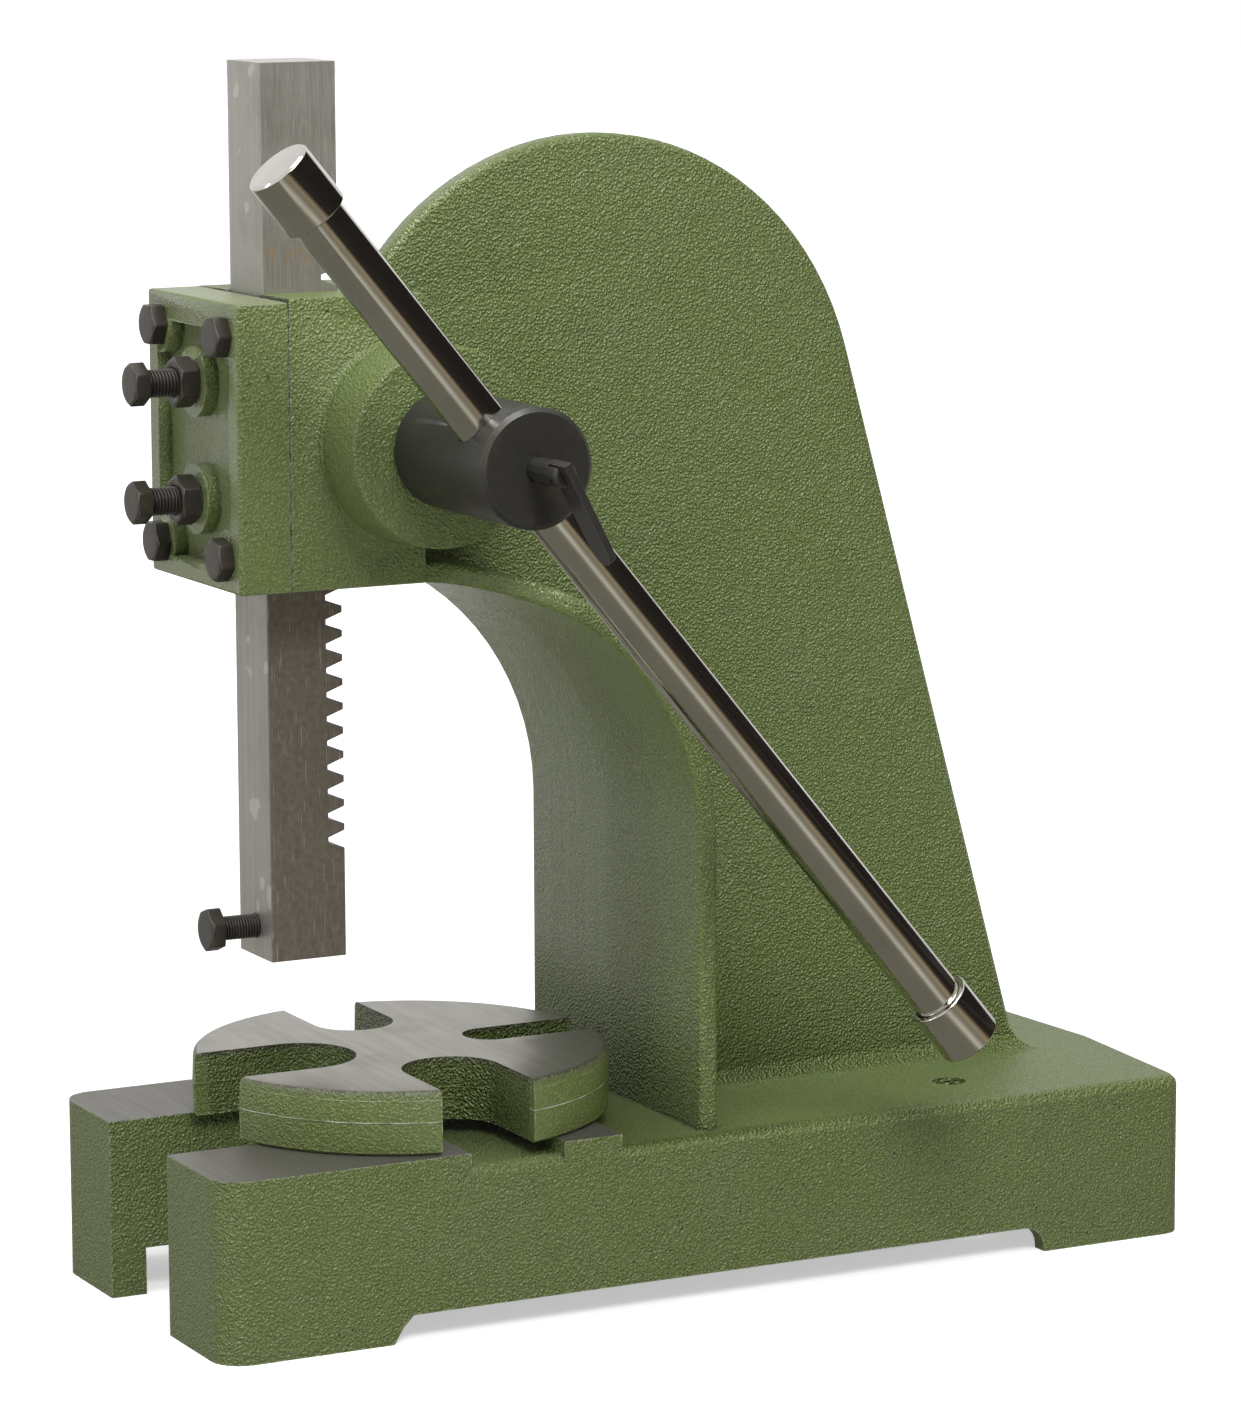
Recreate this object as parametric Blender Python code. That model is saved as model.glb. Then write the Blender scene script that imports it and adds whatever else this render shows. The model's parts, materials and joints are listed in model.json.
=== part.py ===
"""Bench arbor press: a lever turns a pinion that drives a toothed ram down to a slotted anvil plate.

Sizes are in metres, +Z is up and the bench is at z = 0. The operator stands before the -Y face,
with the lever on the right hand, at +X. Below, pieces are placed from the press point, which is
on the ram's axis at bench level. The world origin is the middle of the rear foot's underside.
"""

import math

import bmesh
import bpy
from mathutils import Matrix

# Fits, overruns of cuts, and how finely round shapes are divided
SEAT_GAP = 0.0003
RUNNING_GAP = 0.0003
OVERRUN = 0.006
JOIN_SINK = 0.0004
WELD_DISTANCE = 0.00003
FINE_STEPS = 64
ROUND_STEPS = 48
SMALL_STEPS = 24
CORNER_STEPS = 3
SMOOTH_ANGLE = math.radians(32)

# Ram and rack
RAM_SIDE = 0.040
RAM_LENGTH = 0.443
RAM_REST_HEIGHT = 0.17725
RACK_PITCH = 0.01214
RACK_GAPS = 24
RACK_FIRST_GAP = 0.059
PRESSURE_ANGLE = math.radians(20)
ROOT_DEPTH_SHARE = 1.25
RAM_EDGE = 0.0006
TOOL_BORE_RADIUS = 0.010
TOOL_BORE_DEPTH = 0.036

# Pinion gear and its key
PINION_TEETH = 14
PINION_FACE = 0.039
TOOTH_PLAY = 0.0005
TOOTH_UNDERCUT = 0.0003
FLANK_POINTS = 5
KEY_WIDTH = 0.010
KEY_HEIGHT = 0.008
KEY_LENGTH = 0.034
KEY_SEAT_DEPTH = 0.005

# Base of the frame
BASE_HALF_WIDTH = 0.1055
BASE_FRONT = 0.0854
BASE_REAR = 0.4605
BASE_REAR_POINT = 0.0081
BASE_FRONT_RADIUS = 0.016
BASE_REAR_RADIUS = 0.010
BASE_TOP = 0.0845
BASE_TOP_EDGE = 0.005
PAD_RISE = 0.0067
PAD_ROOT = 0.016
FRONT_PAD_END = 0.0475
REAR_PAD_START = 0.0985
REAR_PAD_LENGTH = 0.032
SLOT_HALF_WIDTH = 0.038
SLOT_END_CENTRE = 0.002
FRONT_WALL = 0.0189
SIDE_WALL = 0.0095
REAR_WALL = 0.018
SLOT_WALL = 0.010
TOP_WALL = 0.0145
SLOT_WALL_FOOT = 0.024
RELIEF_HEIGHT = 0.0137
RELIEF_START = 0.005
FAR_RELIEF_START = -0.052
RELIEF_SLOPE = 0.0107
RELIEF_SLOPE_FOOT_SHARE = 0.62
RELIEF_END = 0.3765
RELIEF_RADIUS = 0.012
MOUNT_HOLE_RADIUS = 0.009
MOUNT_HOLE_X = 0.0587
MOUNT_HOLE_Y = 0.346
PIN_BOSS_RADIUS = 0.016
PIN_BOSS_DEPTH = 0.020

# Head, its cover and the gib behind the cover
HEAD_CHEEK = 0.0357
HEAD_BOTTOM = 0.3667
HEAD_TOP = 0.5092
HEAD_TOP_LEAN = 0.0018
HEAD_REAR = 0.050
HEAD_EDGE = 0.0014
HEAD_ROOT_FILLET = 0.012
JOINT_LEAD = 0.00185
COVER_THICKNESS = 0.02705
COVER_DROP = 0.002
COVER_EDGE = 0.0016
PANEL_DEPTH = 0.007
PANEL_SIDE_RIM = 0.0118
PANEL_TOP_RIM = 0.0137
PANEL_BOTTOM_RIM = 0.0103
PANEL_RADIUS = 0.006
CORNER_BOSS_RADIUS = 0.0140
GIB_BOSS_RADIUS = 0.0172
COVER_BOLT_INSET_X = 0.0160
COVER_BOLT_INSET_Z = 0.0164
COVER_BOLT_LENGTH = 0.045
GIB_SCREW_SPACING = 0.0577
GIB_SCREW_STANDOFF = 0.0255
GIB_HALF_WIDTH = 0.018
GIB_THICKNESS = 0.008
GIB_LENGTH = 0.130

# Column: web, throat flange and the fillet at the web's foot
WEB_HALF = 0.008
WEB_EDGE = 0.004
WEB_TOP_Y = 0.1682
WEB_TOP_DROP = 0.0854
WEB_TOP_REACH_Y = 0.1509
WEB_TOP_REACH_Z = 0.1563
WEB_REAR_SLOPE = math.radians(15.4)
WEB_TOP_END_ANGLE = math.radians(145)
WEB_FOOT_FILLET = 0.010
THROAT_FACE = 0.180
THROAT_RADIUS = 0.1365
FLANGE_THICKNESS = 0.0105
FLANGE_FOOT_HALF = 0.095
FLANGE_TOP_HALF = 0.099
FLANGE_EDGE = 0.003
FLARE_START = math.radians(60)
FLARE_END = math.radians(86)

# Boss that carries the pinion shaft
PINION_Z = 0.4375
BOSS_PROUD = 0.0383
BOSS_RADIUS = 0.0492
BOSS_DRAFT = 0.0018
BOSS_EDGE = 0.0016
BOSS_WEB_FILLET = 0.010
BOSS_HEAD_FILLET = 0.0045
FAR_BOSS_PROUD = 0.008
CAVITY_GAP = 0.0015
CHEEK_GAP = 0.0005

# Pinion shaft with its hub
SHAFT_RADIUS = 0.016
JOURNAL_RADIUS = 0.020
HUB_RADIUS = 0.0289
HUB_LENGTH = 0.0985
HUB_CHAMFER = 0.0021
SHAFT_END_CHAMFER = 0.0015
WASHER_RADIUS = 0.026
WASHER_THICKNESS = 0.005
WASHER_HOLE_RADIUS = 0.0053

# Lever bar, caps and clamp
LEVER_FROM_HUB_END = 0.0268
LEVER_SLOPE = math.radians(50.4)
LEVER_RADIUS = 0.0128
LEVER_ABOVE = 0.1856
LEVER_BELOW = 0.3945
CAP_RADIUS = 0.0160
CAP_LENGTH = 0.0302
CAP_END_WALL = 0.005
CAP_CHAMFER = 0.0012
CLAMP_RADIUS = 0.006
CLAMP_STANDOUT = 0.0295
CLAMP_CHAMFER = 0.0012
BLADE_THICKNESS = 0.0038
BLADE_ANGLE = math.radians(27.8)
BLADE_REACH = 0.0477
BLADE_ROOT_REACH = 0.0068
BLADE_ROOT_WIDTH = 0.0174
BLADE_TIP_WIDTH = 0.0160
BLADE_SLOT_DEPTH = 0.0094
BLADE_PIN_RADIUS = 0.0015
BLADE_PIN_INSET = 0.0050

# Anvil plate, its four slots and its pivot; a slot's centre is that of its round end
ANVIL_Y = 0.0586
ANVIL_RADIUS = 0.1055
ANVIL_THICKNESS = 0.0321
ANVIL_TAPER = 0.0005
ANVIL_TOP_ROUND = 0.003
ANVIL_BOTTOM_CHAMFER = 0.0012
RIGHT_SLOT_HALF_WIDTH = 0.025
RIGHT_SLOT_CENTRE = 0.060
REAR_SLOT_HALF_WIDTH = 0.014
REAR_SLOT_CENTRE = 0.050
LEFT_SLOT_HALF_WIDTH = 0.021
LEFT_SLOT_CENTRE = 0.059
FRONT_SLOT_HALF_WIDTH = 0.029
FRONT_SLOT_CENTRE = 0.0563
PIVOT_RADIUS = 0.008
PIVOT_IN_PLATE = 0.016
PIVOT_IN_BASE = 0.030

# Hex screws and nuts: half the width across flats, head height and shank radius
COVER_BOLT_HALF_FLATS = 0.0095
COVER_BOLT_HEAD = 0.0075
COVER_BOLT_RADIUS = 0.006
GIB_SCREW_HALF_FLATS = 0.0094
GIB_SCREW_HEAD = 0.0078
GIB_SCREW_RADIUS = 0.007
GIB_NUT_HALF_FLATS = 0.011
GIB_NUT_HEIGHT = 0.0102
TOOL_SCREW_HALF_FLATS = 0.0098
TOOL_SCREW_HEAD = 0.0074
TOOL_SCREW_RADIUS = 0.0061
SHAFT_SCREW_HALF_FLATS = 0.0085
SHAFT_SCREW_HEAD = 0.0064
SHAFT_SCREW_RADIUS = 0.005
TOOL_SCREW_HEIGHT = 0.0154
TOOL_SCREW_STANDOFF = 0.0200
TOOL_SCREW_TIP = 0.0008
SHAFT_SCREW_LENGTH = 0.022
SCREW_END_CHAMFER = 0.001
HEX_CHAMFER_ANGLE = math.radians(30)
HEX_FACE_SHARE = 0.95
HEX_SIDE_STEPS = 4
COVER_BOLT_TURNS = (math.radians(3), math.radians(0), math.radians(-15), math.radians(0))
GIB_SCREW_TURN = math.radians(30)
TOOL_SCREW_TURN = math.radians(21)

# Sizes and places worked out from the sizes above
COVER_BOLT_HEX = (COVER_BOLT_HALF_FLATS, COVER_BOLT_HEAD, COVER_BOLT_RADIUS)
GIB_SCREW_HEX = (GIB_SCREW_HALF_FLATS, GIB_SCREW_HEAD, GIB_SCREW_RADIUS)
GIB_NUT_HEX = (GIB_NUT_HALF_FLATS, GIB_NUT_HEIGHT, GIB_SCREW_RADIUS)
TOOL_SCREW_HEX = (TOOL_SCREW_HALF_FLATS, TOOL_SCREW_HEAD, TOOL_SCREW_RADIUS)
SHAFT_SCREW_HEX = (SHAFT_SCREW_HALF_FLATS, SHAFT_SCREW_HEAD, SHAFT_SCREW_RADIUS)
RAM_HALF = RAM_SIDE / 2
MODULE = RACK_PITCH / math.pi
PITCH_RADIUS = PINION_TEETH * MODULE / 2
PINION_Y = RAM_HALF - MODULE + PITCH_RADIUS
PAD_TOP = BASE_TOP + PAD_RISE
REAR_PAD_END = REAR_PAD_START + REAR_PAD_LENGTH
HEAD_HALF = RAM_HALF + HEAD_CHEEK
HEAD_FRONT = -RAM_HALF - JOINT_LEAD
COVER_BACK = HEAD_FRONT - SEAT_GAP
COVER_FRONT = COVER_BACK - COVER_THICKNESS
COVER_TOP = HEAD_TOP - COVER_DROP
COVER_MIDDLE = (COVER_TOP + HEAD_BOTTOM) / 2
WEB_TOP_Z = HEAD_TOP - WEB_TOP_DROP
GIB_FRONT = -RAM_HALF - RUNNING_GAP - GIB_THICKNESS
THROAT_CENTRE_Y = THROAT_FACE - THROAT_RADIUS
THROAT_CENTRE_Z = HEAD_BOTTOM - THROAT_RADIUS
BOSS_FACE = HEAD_HALF + BOSS_PROUD
FAR_BOSS_FACE = -HEAD_HALF - FAR_BOSS_PROUD
HUB_START = BOSS_FACE + RUNNING_GAP
HUB_END = HUB_START + HUB_LENGTH
LEVER_X = HUB_END - LEVER_FROM_HUB_END
CLAMP_START = LEVER_X + LEVER_RADIUS + SEAT_GAP
CLAMP_END = HUB_END + CLAMP_STANDOUT
ANVIL_BOTTOM = PAD_TOP + SEAT_GAP
CAVITY_TOP = BASE_TOP - TOP_WALL
CAVITY_REAR = BASE_REAR + BASE_REAR_POINT - REAR_WALL
PRESS_POINT_Y = -(BASE_REAR + BASE_REAR_POINT - REAR_WALL / 2)

# Turns from the Z axis to each axis that pieces are made along
AXIS_TURNS = {"X": Matrix.Rotation(math.pi / 2, 4, "Y"), "Y": Matrix.Rotation(-math.pi / 2, 4, "X"),
              "Z": Matrix.Identity(4), "LEVER": Matrix.Rotation(-math.pi / 2 - LEVER_SLOPE, 4, "X")}

# Colours are sRGB shares of red, green and blue; finishes are shares of roughness and of metal
ENAMEL_COLOUR_SHARES = (0.37, 0.45, 0.25)
STEEL_COLOUR_SHARES = (0.50, 0.48, 0.45)
BLACK_COLOUR_SHARES = (0.18, 0.17, 0.165)
CHROME_COLOUR_SHARES = (0.78, 0.77, 0.75)
ENAMEL_FINISH_SHARES = (0.45, 0)
STEEL_FINISH_SHARES = (0.38, 1)
BLACK_FINISH_SHARES = (0.42, 0.6)
CHROME_FINISH_SHARES = (0.10, 1)


def linear(share):
    """Turn one sRGB share into the linear value that a shader takes."""
    return ((share + 0.055) / 1.055) ** 2.4 if share > 0.04045 else share / 12.92


def make_material(name, colour_shares, finish_shares):
    """One Principled material."""
    material = bpy.data.materials.new(name)
    material.use_nodes = True
    shader = material.node_tree.nodes["Principled BSDF"]
    shader.inputs["Base Color"].default_value = [linear(share) for share in colour_shares] + [1]
    shader.inputs["Roughness"].default_value, shader.inputs["Metallic"].default_value = finish_shares
    return material


def enamel():
    return make_material("green_enamel", ENAMEL_COLOUR_SHARES, ENAMEL_FINISH_SHARES)


def bare_steel():
    return make_material("machined_steel", STEEL_COLOUR_SHARES, STEEL_FINISH_SHARES)


def black_oxide():
    return make_material("black_oxide_steel", BLACK_COLOUR_SHARES, BLACK_FINISH_SHARES)


def chrome():
    return make_material("chromed_steel", CHROME_COLOUR_SHARES, CHROME_FINISH_SHARES)


# Outlines are lists of (u, v) points, counter-clockwise


def arc(centre_u, centre_v, radius, start, end, steps):
    """Points on an arc, both ends included, angles in radians."""
    points = []
    for step in range(steps + 1):
        angle = start + (end - start) * step / steps
        points.append((centre_u + radius * math.cos(angle), centre_v + radius * math.sin(angle)))
    return points


def rectangle(left, right, bottom, top):
    return [(left, bottom), (right, bottom), (right, top), (left, top)]


def rounded_rectangle(left, right, bottom, top, radius, steps):
    """A rectangle with round corners."""
    quarter = math.pi / 2
    points = arc(right - radius, bottom + radius, radius, -quarter, 0, steps)
    points += arc(right - radius, top - radius, radius, 0, quarter, steps)
    points += arc(left + radius, top - radius, radius, quarter, 2 * quarter, steps)
    points += arc(left + radius, bottom + radius, radius, 2 * quarter, 3 * quarter, steps)
    return points


def circle(centre_u, centre_v, radius, steps):
    return arc(centre_u, centre_v, radius, 0, 2 * math.pi, steps)[:-1]


# Solids


def add_object(name, bm, material=None, parent=None, location=(0, 0, 0), keep_sharp=False):
    """Turn a bmesh into a named object; without a material it is a guide for cuts and joins."""
    bmesh.ops.recalc_face_normals(bm, faces=bm.faces)
    mesh = bpy.data.meshes.new(name)
    bm.to_mesh(mesh)
    bm.free()
    thing = bpy.data.objects.new(name, mesh)
    bpy.context.scene.collection.objects.link(thing)
    thing.parent = parent
    thing.location = location
    if material is None:
        thing.hide_render = True
        thing.display_type = "WIRE"
    else:
        mesh.materials.append(material)
        if not keep_sharp:
            mesh.shade_smooth()
            mesh.set_sharp_from_angle(angle=SMOOTH_ANGLE)
    return thing


def prism_mesh(outline, low, high, axis="Z"):
    """Extrude an outline from low to high along an axis; (u, v) are the two other axes in order."""
    bm = bmesh.new()
    corners = []
    for u, v in outline:
        point = {"X": (low, u, v), "Y": (u, low, v), "Z": (u, v, low)}[axis]
        corners.append(bm.verts.new(point))
    face = bm.faces.new(corners)
    lift = bmesh.ops.extrude_face_region(bm, geom=[face])
    moved = [item for item in lift["geom"] if isinstance(item, bmesh.types.BMVert)]
    step = {"X": (high - low, 0, 0), "Y": (0, high - low, 0), "Z": (0, 0, high - low)}[axis]
    bmesh.ops.translate(bm, verts=moved, vec=step)
    return bm


def lathe_mesh(profile, steps, axis="X", closed=False):
    """Spin a profile of (radius, along) points about an axis through the object's origin."""
    bm = bmesh.new()
    verts = [bm.verts.new((radius, 0, along)) for radius, along in profile]
    edges = [bm.edges.new(pair) for pair in zip(verts, verts[1:])]
    if closed:
        edges.append(bm.edges.new((verts[-1], verts[0])))
    bmesh.ops.spin(bm, geom=verts + edges, cent=(0, 0, 0), axis=(0, 0, 1), dvec=(0, 0, 0),
                   angle=2 * math.pi, steps=steps, use_merge=True)
    bmesh.ops.remove_doubles(bm, verts=bm.verts, dist=SEAT_GAP / FINE_STEPS)
    on_axis = [vert for vert in bm.verts if vert.co.xy.length < SEAT_GAP / FINE_STEPS]
    bmesh.ops.dissolve_verts(bm, verts=on_axis)
    bmesh.ops.transform(bm, matrix=AXIS_TURNS[axis], verts=bm.verts)
    return bm


def loft_mesh(loops, closed=False):
    """Join loops of as many points each; cap both ends, or join the last loop to the first."""
    bm = bmesh.new()
    rings = [[bm.verts.new(point) for point in loop] for loop in loops]
    after = rings[1:] + rings[:1] if closed else rings[1:]
    for low, high in zip(rings, after):
        for index in range(len(low)):
            following = (index + 1) % len(low)
            bm.faces.new((low[index], low[following], high[following], high[index]))
    if not closed:
        bm.faces.new(rings[0][::-1])
        bm.faces.new(rings[-1])
    return bm


def bevel_edges(bm, keep, width, segments):
    """Round the edges that keep(edge) picks."""
    edges = [edge for edge in bm.edges if keep(edge)]
    bmesh.ops.bevel(bm, geom=edges, offset=width, segments=segments, profile=0.5,
                    affect="EDGES", clamp_overlap=True)
    return bm


def lies_at(edge, axis, value):
    """True where both ends of an edge lie at a value along an axis (0, 1 or 2)."""
    return all(abs(vert.co[axis] - value) < SEAT_GAP / FINE_STEPS for vert in edge.verts)


def lies_upright(edge):
    """True for an edge that runs along Z."""
    return abs(edge.verts[0].co.z - edge.verts[1].co.z) > SEAT_GAP


def combine(target, tool, operation):
    """Cut, join or intersect with another object through a Boolean modifier."""
    boolean = target.modifiers.new(operation.lower() + "_" + tool.name, "BOOLEAN")
    boolean.operation = operation
    boolean.solver = "EXACT"
    boolean.object = tool
    return target


def cut(target, tool):
    return combine(target, tool, "DIFFERENCE")


def join(target, tool):
    return combine(target, tool, "UNION")


def tidy(target):
    """Weld the tiny edges that a chain of Booleans leaves."""
    weld = target.modifiers.new("weld", "WELD")
    weld.merge_threshold = WELD_DISTANCE
    return target


# Frame casting


def base_outline():
    """Plan of the base: round front corners and a rear face that comes to a blunt point."""
    slope = math.atan(BASE_REAR_POINT / BASE_HALF_WIDTH)
    inner_x = BASE_HALF_WIDTH - BASE_REAR_RADIUS
    rear_centre_y = (BASE_REAR + BASE_REAR_POINT - inner_x * math.tan(slope)
                     - BASE_REAR_RADIUS / math.cos(slope))
    front_x = BASE_HALF_WIDTH - BASE_FRONT_RADIUS
    front_y = BASE_FRONT_RADIUS - BASE_FRONT
    quarter = math.pi / 2
    right = arc(front_x, front_y, BASE_FRONT_RADIUS, -quarter, 0, 2 * CORNER_STEPS)
    right += arc(inner_x, rear_centre_y, BASE_REAR_RADIUS, 0, quarter - slope, CORNER_STEPS)
    left = [(-u, v) for u, v in reversed(right)]
    return right + [(0, BASE_REAR + BASE_REAR_POINT)] + left


def pad_outline():
    """Plan of the raised front pad, flush with the base's sides and front."""
    front = [(u, v) for u, v in base_outline() if v < FRONT_PAD_END]
    right = [point for point in front if point[0] > 0]
    left = [point for point in front if point[0] < 0]
    return right + rectangle(-BASE_HALF_WIDTH, BASE_HALF_WIDTH, 0, FRONT_PAD_END)[2:] + left


def slot_outline(half_width, front, end_centre):
    """A slot that is open to the front and ends in a half circle."""
    end = arc(0, end_centre, half_width, 0, math.pi, 6 * CORNER_STEPS)
    return [(-half_width, front), (half_width, front)] + end


def cavity_outline():
    """Hollow under the base: within its walls, and round the wall of the slot."""
    side = BASE_HALF_WIDTH - SIDE_WALL
    front = FRONT_WALL - BASE_FRONT
    slot = SLOT_HALF_WIDTH + SLOT_WALL
    bend = arc(0, SLOT_END_CENTRE, slot, math.pi, 0, 6 * CORNER_STEPS)
    return ([(side, front), (side, CAVITY_REAR), (-side, CAVITY_REAR), (-side, front), (-slot, front)]
            + bend + [(slot, front)])


def relief_outline(start):
    """Side view of the space between the two feet on one side of the base, as (y, z)."""
    bend = (start + RELIEF_SLOPE / 2, RELIEF_HEIGHT * RELIEF_SLOPE_FOOT_SHARE)
    front = [(start, -OVERRUN), (start, 0), bend, (start + RELIEF_SLOPE, RELIEF_HEIGHT)]
    round_end = arc(RELIEF_END - RELIEF_RADIUS, RELIEF_HEIGHT - RELIEF_RADIUS, RELIEF_RADIUS,
                    math.pi / 2, 0, 2 * CORNER_STEPS)
    return (front + round_end + [(RELIEF_END, -OVERRUN)])[::-1]


def shape_base(frame, root):
    """Pads on top, the front slot, the hollow underside, its feet and the holes."""
    pad = prism_mesh(pad_outline(), BASE_TOP - PAD_ROOT, PAD_TOP)
    join(frame, add_object("front_pad_form", pad, parent=root))
    rear_pad = rectangle(-BASE_HALF_WIDTH, BASE_HALF_WIDTH, REAR_PAD_START, REAR_PAD_END)
    join(frame, add_object("rear_pad_form", prism_mesh(rear_pad, BASE_TOP - PAD_ROOT, PAD_TOP), parent=root))
    cavity = prism_mesh(cavity_outline(), -OVERRUN, CAVITY_TOP)
    cut(frame, add_object("cavity_form", cavity, parent=root))
    pin_boss = prism_mesh(circle(0, ANVIL_Y, PIN_BOSS_RADIUS, ROUND_STEPS), CAVITY_TOP - PIN_BOSS_DEPTH,
                          CAVITY_TOP + TOP_WALL / 2)
    join(frame, add_object("pin_boss_form", pin_boss, parent=root))
    slot = prism_mesh(slot_outline(SLOT_HALF_WIDTH, -BASE_FRONT - OVERRUN, SLOT_END_CENTRE),
                      -OVERRUN, PAD_TOP + OVERRUN)
    cut(frame, add_object("slot_form", slot, parent=root))
    wall_side = SLOT_HALF_WIDTH + SLOT_WALL + OVERRUN
    wall_end = SLOT_END_CENTRE + SLOT_HALF_WIDTH + SLOT_WALL + OVERRUN
    wall_foot = rectangle(-wall_side, wall_side, FRONT_WALL - BASE_FRONT, wall_end)
    cut(frame, add_object("slot_wall_form", prism_mesh(wall_foot, -OVERRUN, SLOT_WALL_FOOT), parent=root))
    reach = BASE_HALF_WIDTH + OVERRUN
    near_relief = prism_mesh(relief_outline(RELIEF_START), SLOT_HALF_WIDTH, reach, "X")
    cut(frame, add_object("near_relief_form", near_relief, parent=root))
    far_relief = prism_mesh(relief_outline(FAR_RELIEF_START), -reach, -SLOT_HALF_WIDTH, "X")
    cut(frame, add_object("far_relief_form", far_relief, parent=root))
    for side, label in ((1, "right"), (-1, "left")):
        hole = circle(side * MOUNT_HOLE_X, MOUNT_HOLE_Y, MOUNT_HOLE_RADIUS, SMALL_STEPS)
        hole_mesh = prism_mesh(hole, CAVITY_TOP - OVERRUN, BASE_TOP + OVERRUN)
        cut(frame, add_object("mount_hole_form_" + label, hole_mesh, parent=root))
    pin_hole = circle(0, ANVIL_Y, PIVOT_RADIUS + SEAT_GAP, SMALL_STEPS)
    pin_hole_mesh = prism_mesh(pin_hole, BASE_TOP - PIVOT_IN_BASE - SEAT_GAP, PAD_TOP + OVERRUN)
    cut(frame, add_object("pivot_hole_form", pin_hole_mesh, parent=root))


def web_top_point(normal_angle):
    """Point (y, z) of the web's oval top where its edge faces an angle."""
    turn = math.atan2(WEB_TOP_REACH_Z * math.sin(normal_angle), WEB_TOP_REACH_Y * math.cos(normal_angle))
    return WEB_TOP_Y + WEB_TOP_REACH_Y * math.cos(turn), WEB_TOP_Z + WEB_TOP_REACH_Z * math.sin(turn)


def web_rear_y(height):
    """Where the slanting rear edge of the web is at a height."""
    touch_y, touch_z = web_top_point(WEB_REAR_SLOPE)
    return touch_y + (touch_z - height) * math.tan(WEB_REAR_SLOPE)


def web_outline():
    """Side view of the web as (y, z): slanting rear, oval top, and an inner edge in the flange."""
    low = BASE_TOP - PAD_ROOT / 2
    middle = THROAT_RADIUS + FLANGE_THICKNESS / 2
    head_reach = HEAD_TOP - 2 * OVERRUN
    steps = FINE_STEPS // 2
    finish = WEB_TOP_END_ANGLE
    angles = [WEB_REAR_SLOPE + (finish - WEB_REAR_SLOPE) * step / steps for step in range(steps + 1)]
    top = [web_top_point(angle) for angle in angles]
    inner = arc(THROAT_CENTRE_Y, THROAT_CENTRE_Z, middle, math.pi / 2, 0, FINE_STEPS // 4)
    inside_head = [(HEAD_REAR - OVERRUN, head_reach), (HEAD_REAR - OVERRUN, inner[0][1])]
    return [(web_rear_y(low), low)] + top + inside_head + inner[1:] + [(inner[-1][0], low)]


def web_foot_loops():
    """Sections of the fillet where the web stands on the base, from the base upward."""
    loops = []
    front = THROAT_FACE + FLANGE_THICKNESS / 2
    angles = [math.pi / 2 * step / (2 * CORNER_STEPS) for step in range(2 * CORNER_STEPS + 1)]
    heights = [(-PAD_ROOT / 2, WEB_FOOT_FILLET)]
    heights += [(WEB_FOOT_FILLET * (1 - math.cos(angle)), WEB_FOOT_FILLET * (1 - math.sin(angle)))
                for angle in angles]
    for rise, spread in heights:
        height = BASE_TOP + rise
        half = WEB_HALF + spread - SEAT_GAP
        rear = web_rear_y(max(height, BASE_TOP)) + spread - SEAT_GAP
        loops.append([(u, v, height) for u, v in rectangle(-half, half, front, rear)])
    return loops


def flange_half(angle):
    """Half width of the throat flange: it grows upward, then flares in to the head's width."""
    growth = min(1, angle / FLARE_START)
    wide = FLANGE_FOOT_HALF + (FLANGE_TOP_HALF - FLANGE_FOOT_HALF) * growth
    share = min(1, max(0, (angle - FLARE_START) / (FLARE_END - FLARE_START)))
    eased = share * share * (3 - 2 * share)
    return wide + (HEAD_HALF - JOIN_SINK - wide) * eased


def flange_loops():
    """Round-edged sections of the throat flange, up its straight part and round its arc."""
    flare_steps = 4 * CORNER_STEPS
    angles = [FLARE_START * step / flare_steps for step in range(flare_steps)]
    flare = math.pi / 2 - FLARE_START
    angles += [FLARE_START + flare * step / flare_steps for step in range(flare_steps + 1)]
    places = [(0, BASE_TOP - PAD_ROOT / 2 - THROAT_CENTRE_Z, 0)]
    places += [(angle, 0, 0) for angle in angles]
    places += [(math.pi / 2, 0, THROAT_CENTRE_Y)]
    loops = []
    for angle, drop, run in places:
        section = rounded_rectangle(-flange_half(angle), flange_half(angle), 0, FLANGE_THICKNESS,
                                    FLANGE_EDGE, CORNER_STEPS)
        loop = []
        for across, depth in section:
            reach = THROAT_RADIUS + depth
            y = THROAT_CENTRE_Y + reach * math.cos(angle) - run
            z = THROAT_CENTRE_Z + reach * math.sin(angle) + drop
            loop.append((across, y, z))
        loops.append(loop)
    return loops


def head_root_outline():
    """Section (y, z) of the fillet behind the head: a hollow arc that touches the head and the flange."""
    outer = THROAT_RADIUS + FLANGE_THICKNESS
    centre_y = HEAD_REAR + HEAD_ROOT_FILLET
    run = centre_y - THROAT_CENTRE_Y
    rise = math.sqrt((outer + HEAD_ROOT_FILLET) ** 2 - run ** 2)
    centre_z = THROAT_CENTRE_Z + rise
    sweep = arc(centre_y, centre_z, HEAD_ROOT_FILLET, -math.pi, math.atan2(rise, run) - math.pi,
                2 * CORNER_STEPS)
    inside_flange = THROAT_CENTRE_Z + outer - FLANGE_THICKNESS / 2
    inside_head = HEAD_REAR - OVERRUN
    return [(inside_head, centre_z), (inside_head, inside_flange),
            (sweep[-1][0], inside_flange)] + sweep[::-1]


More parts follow.
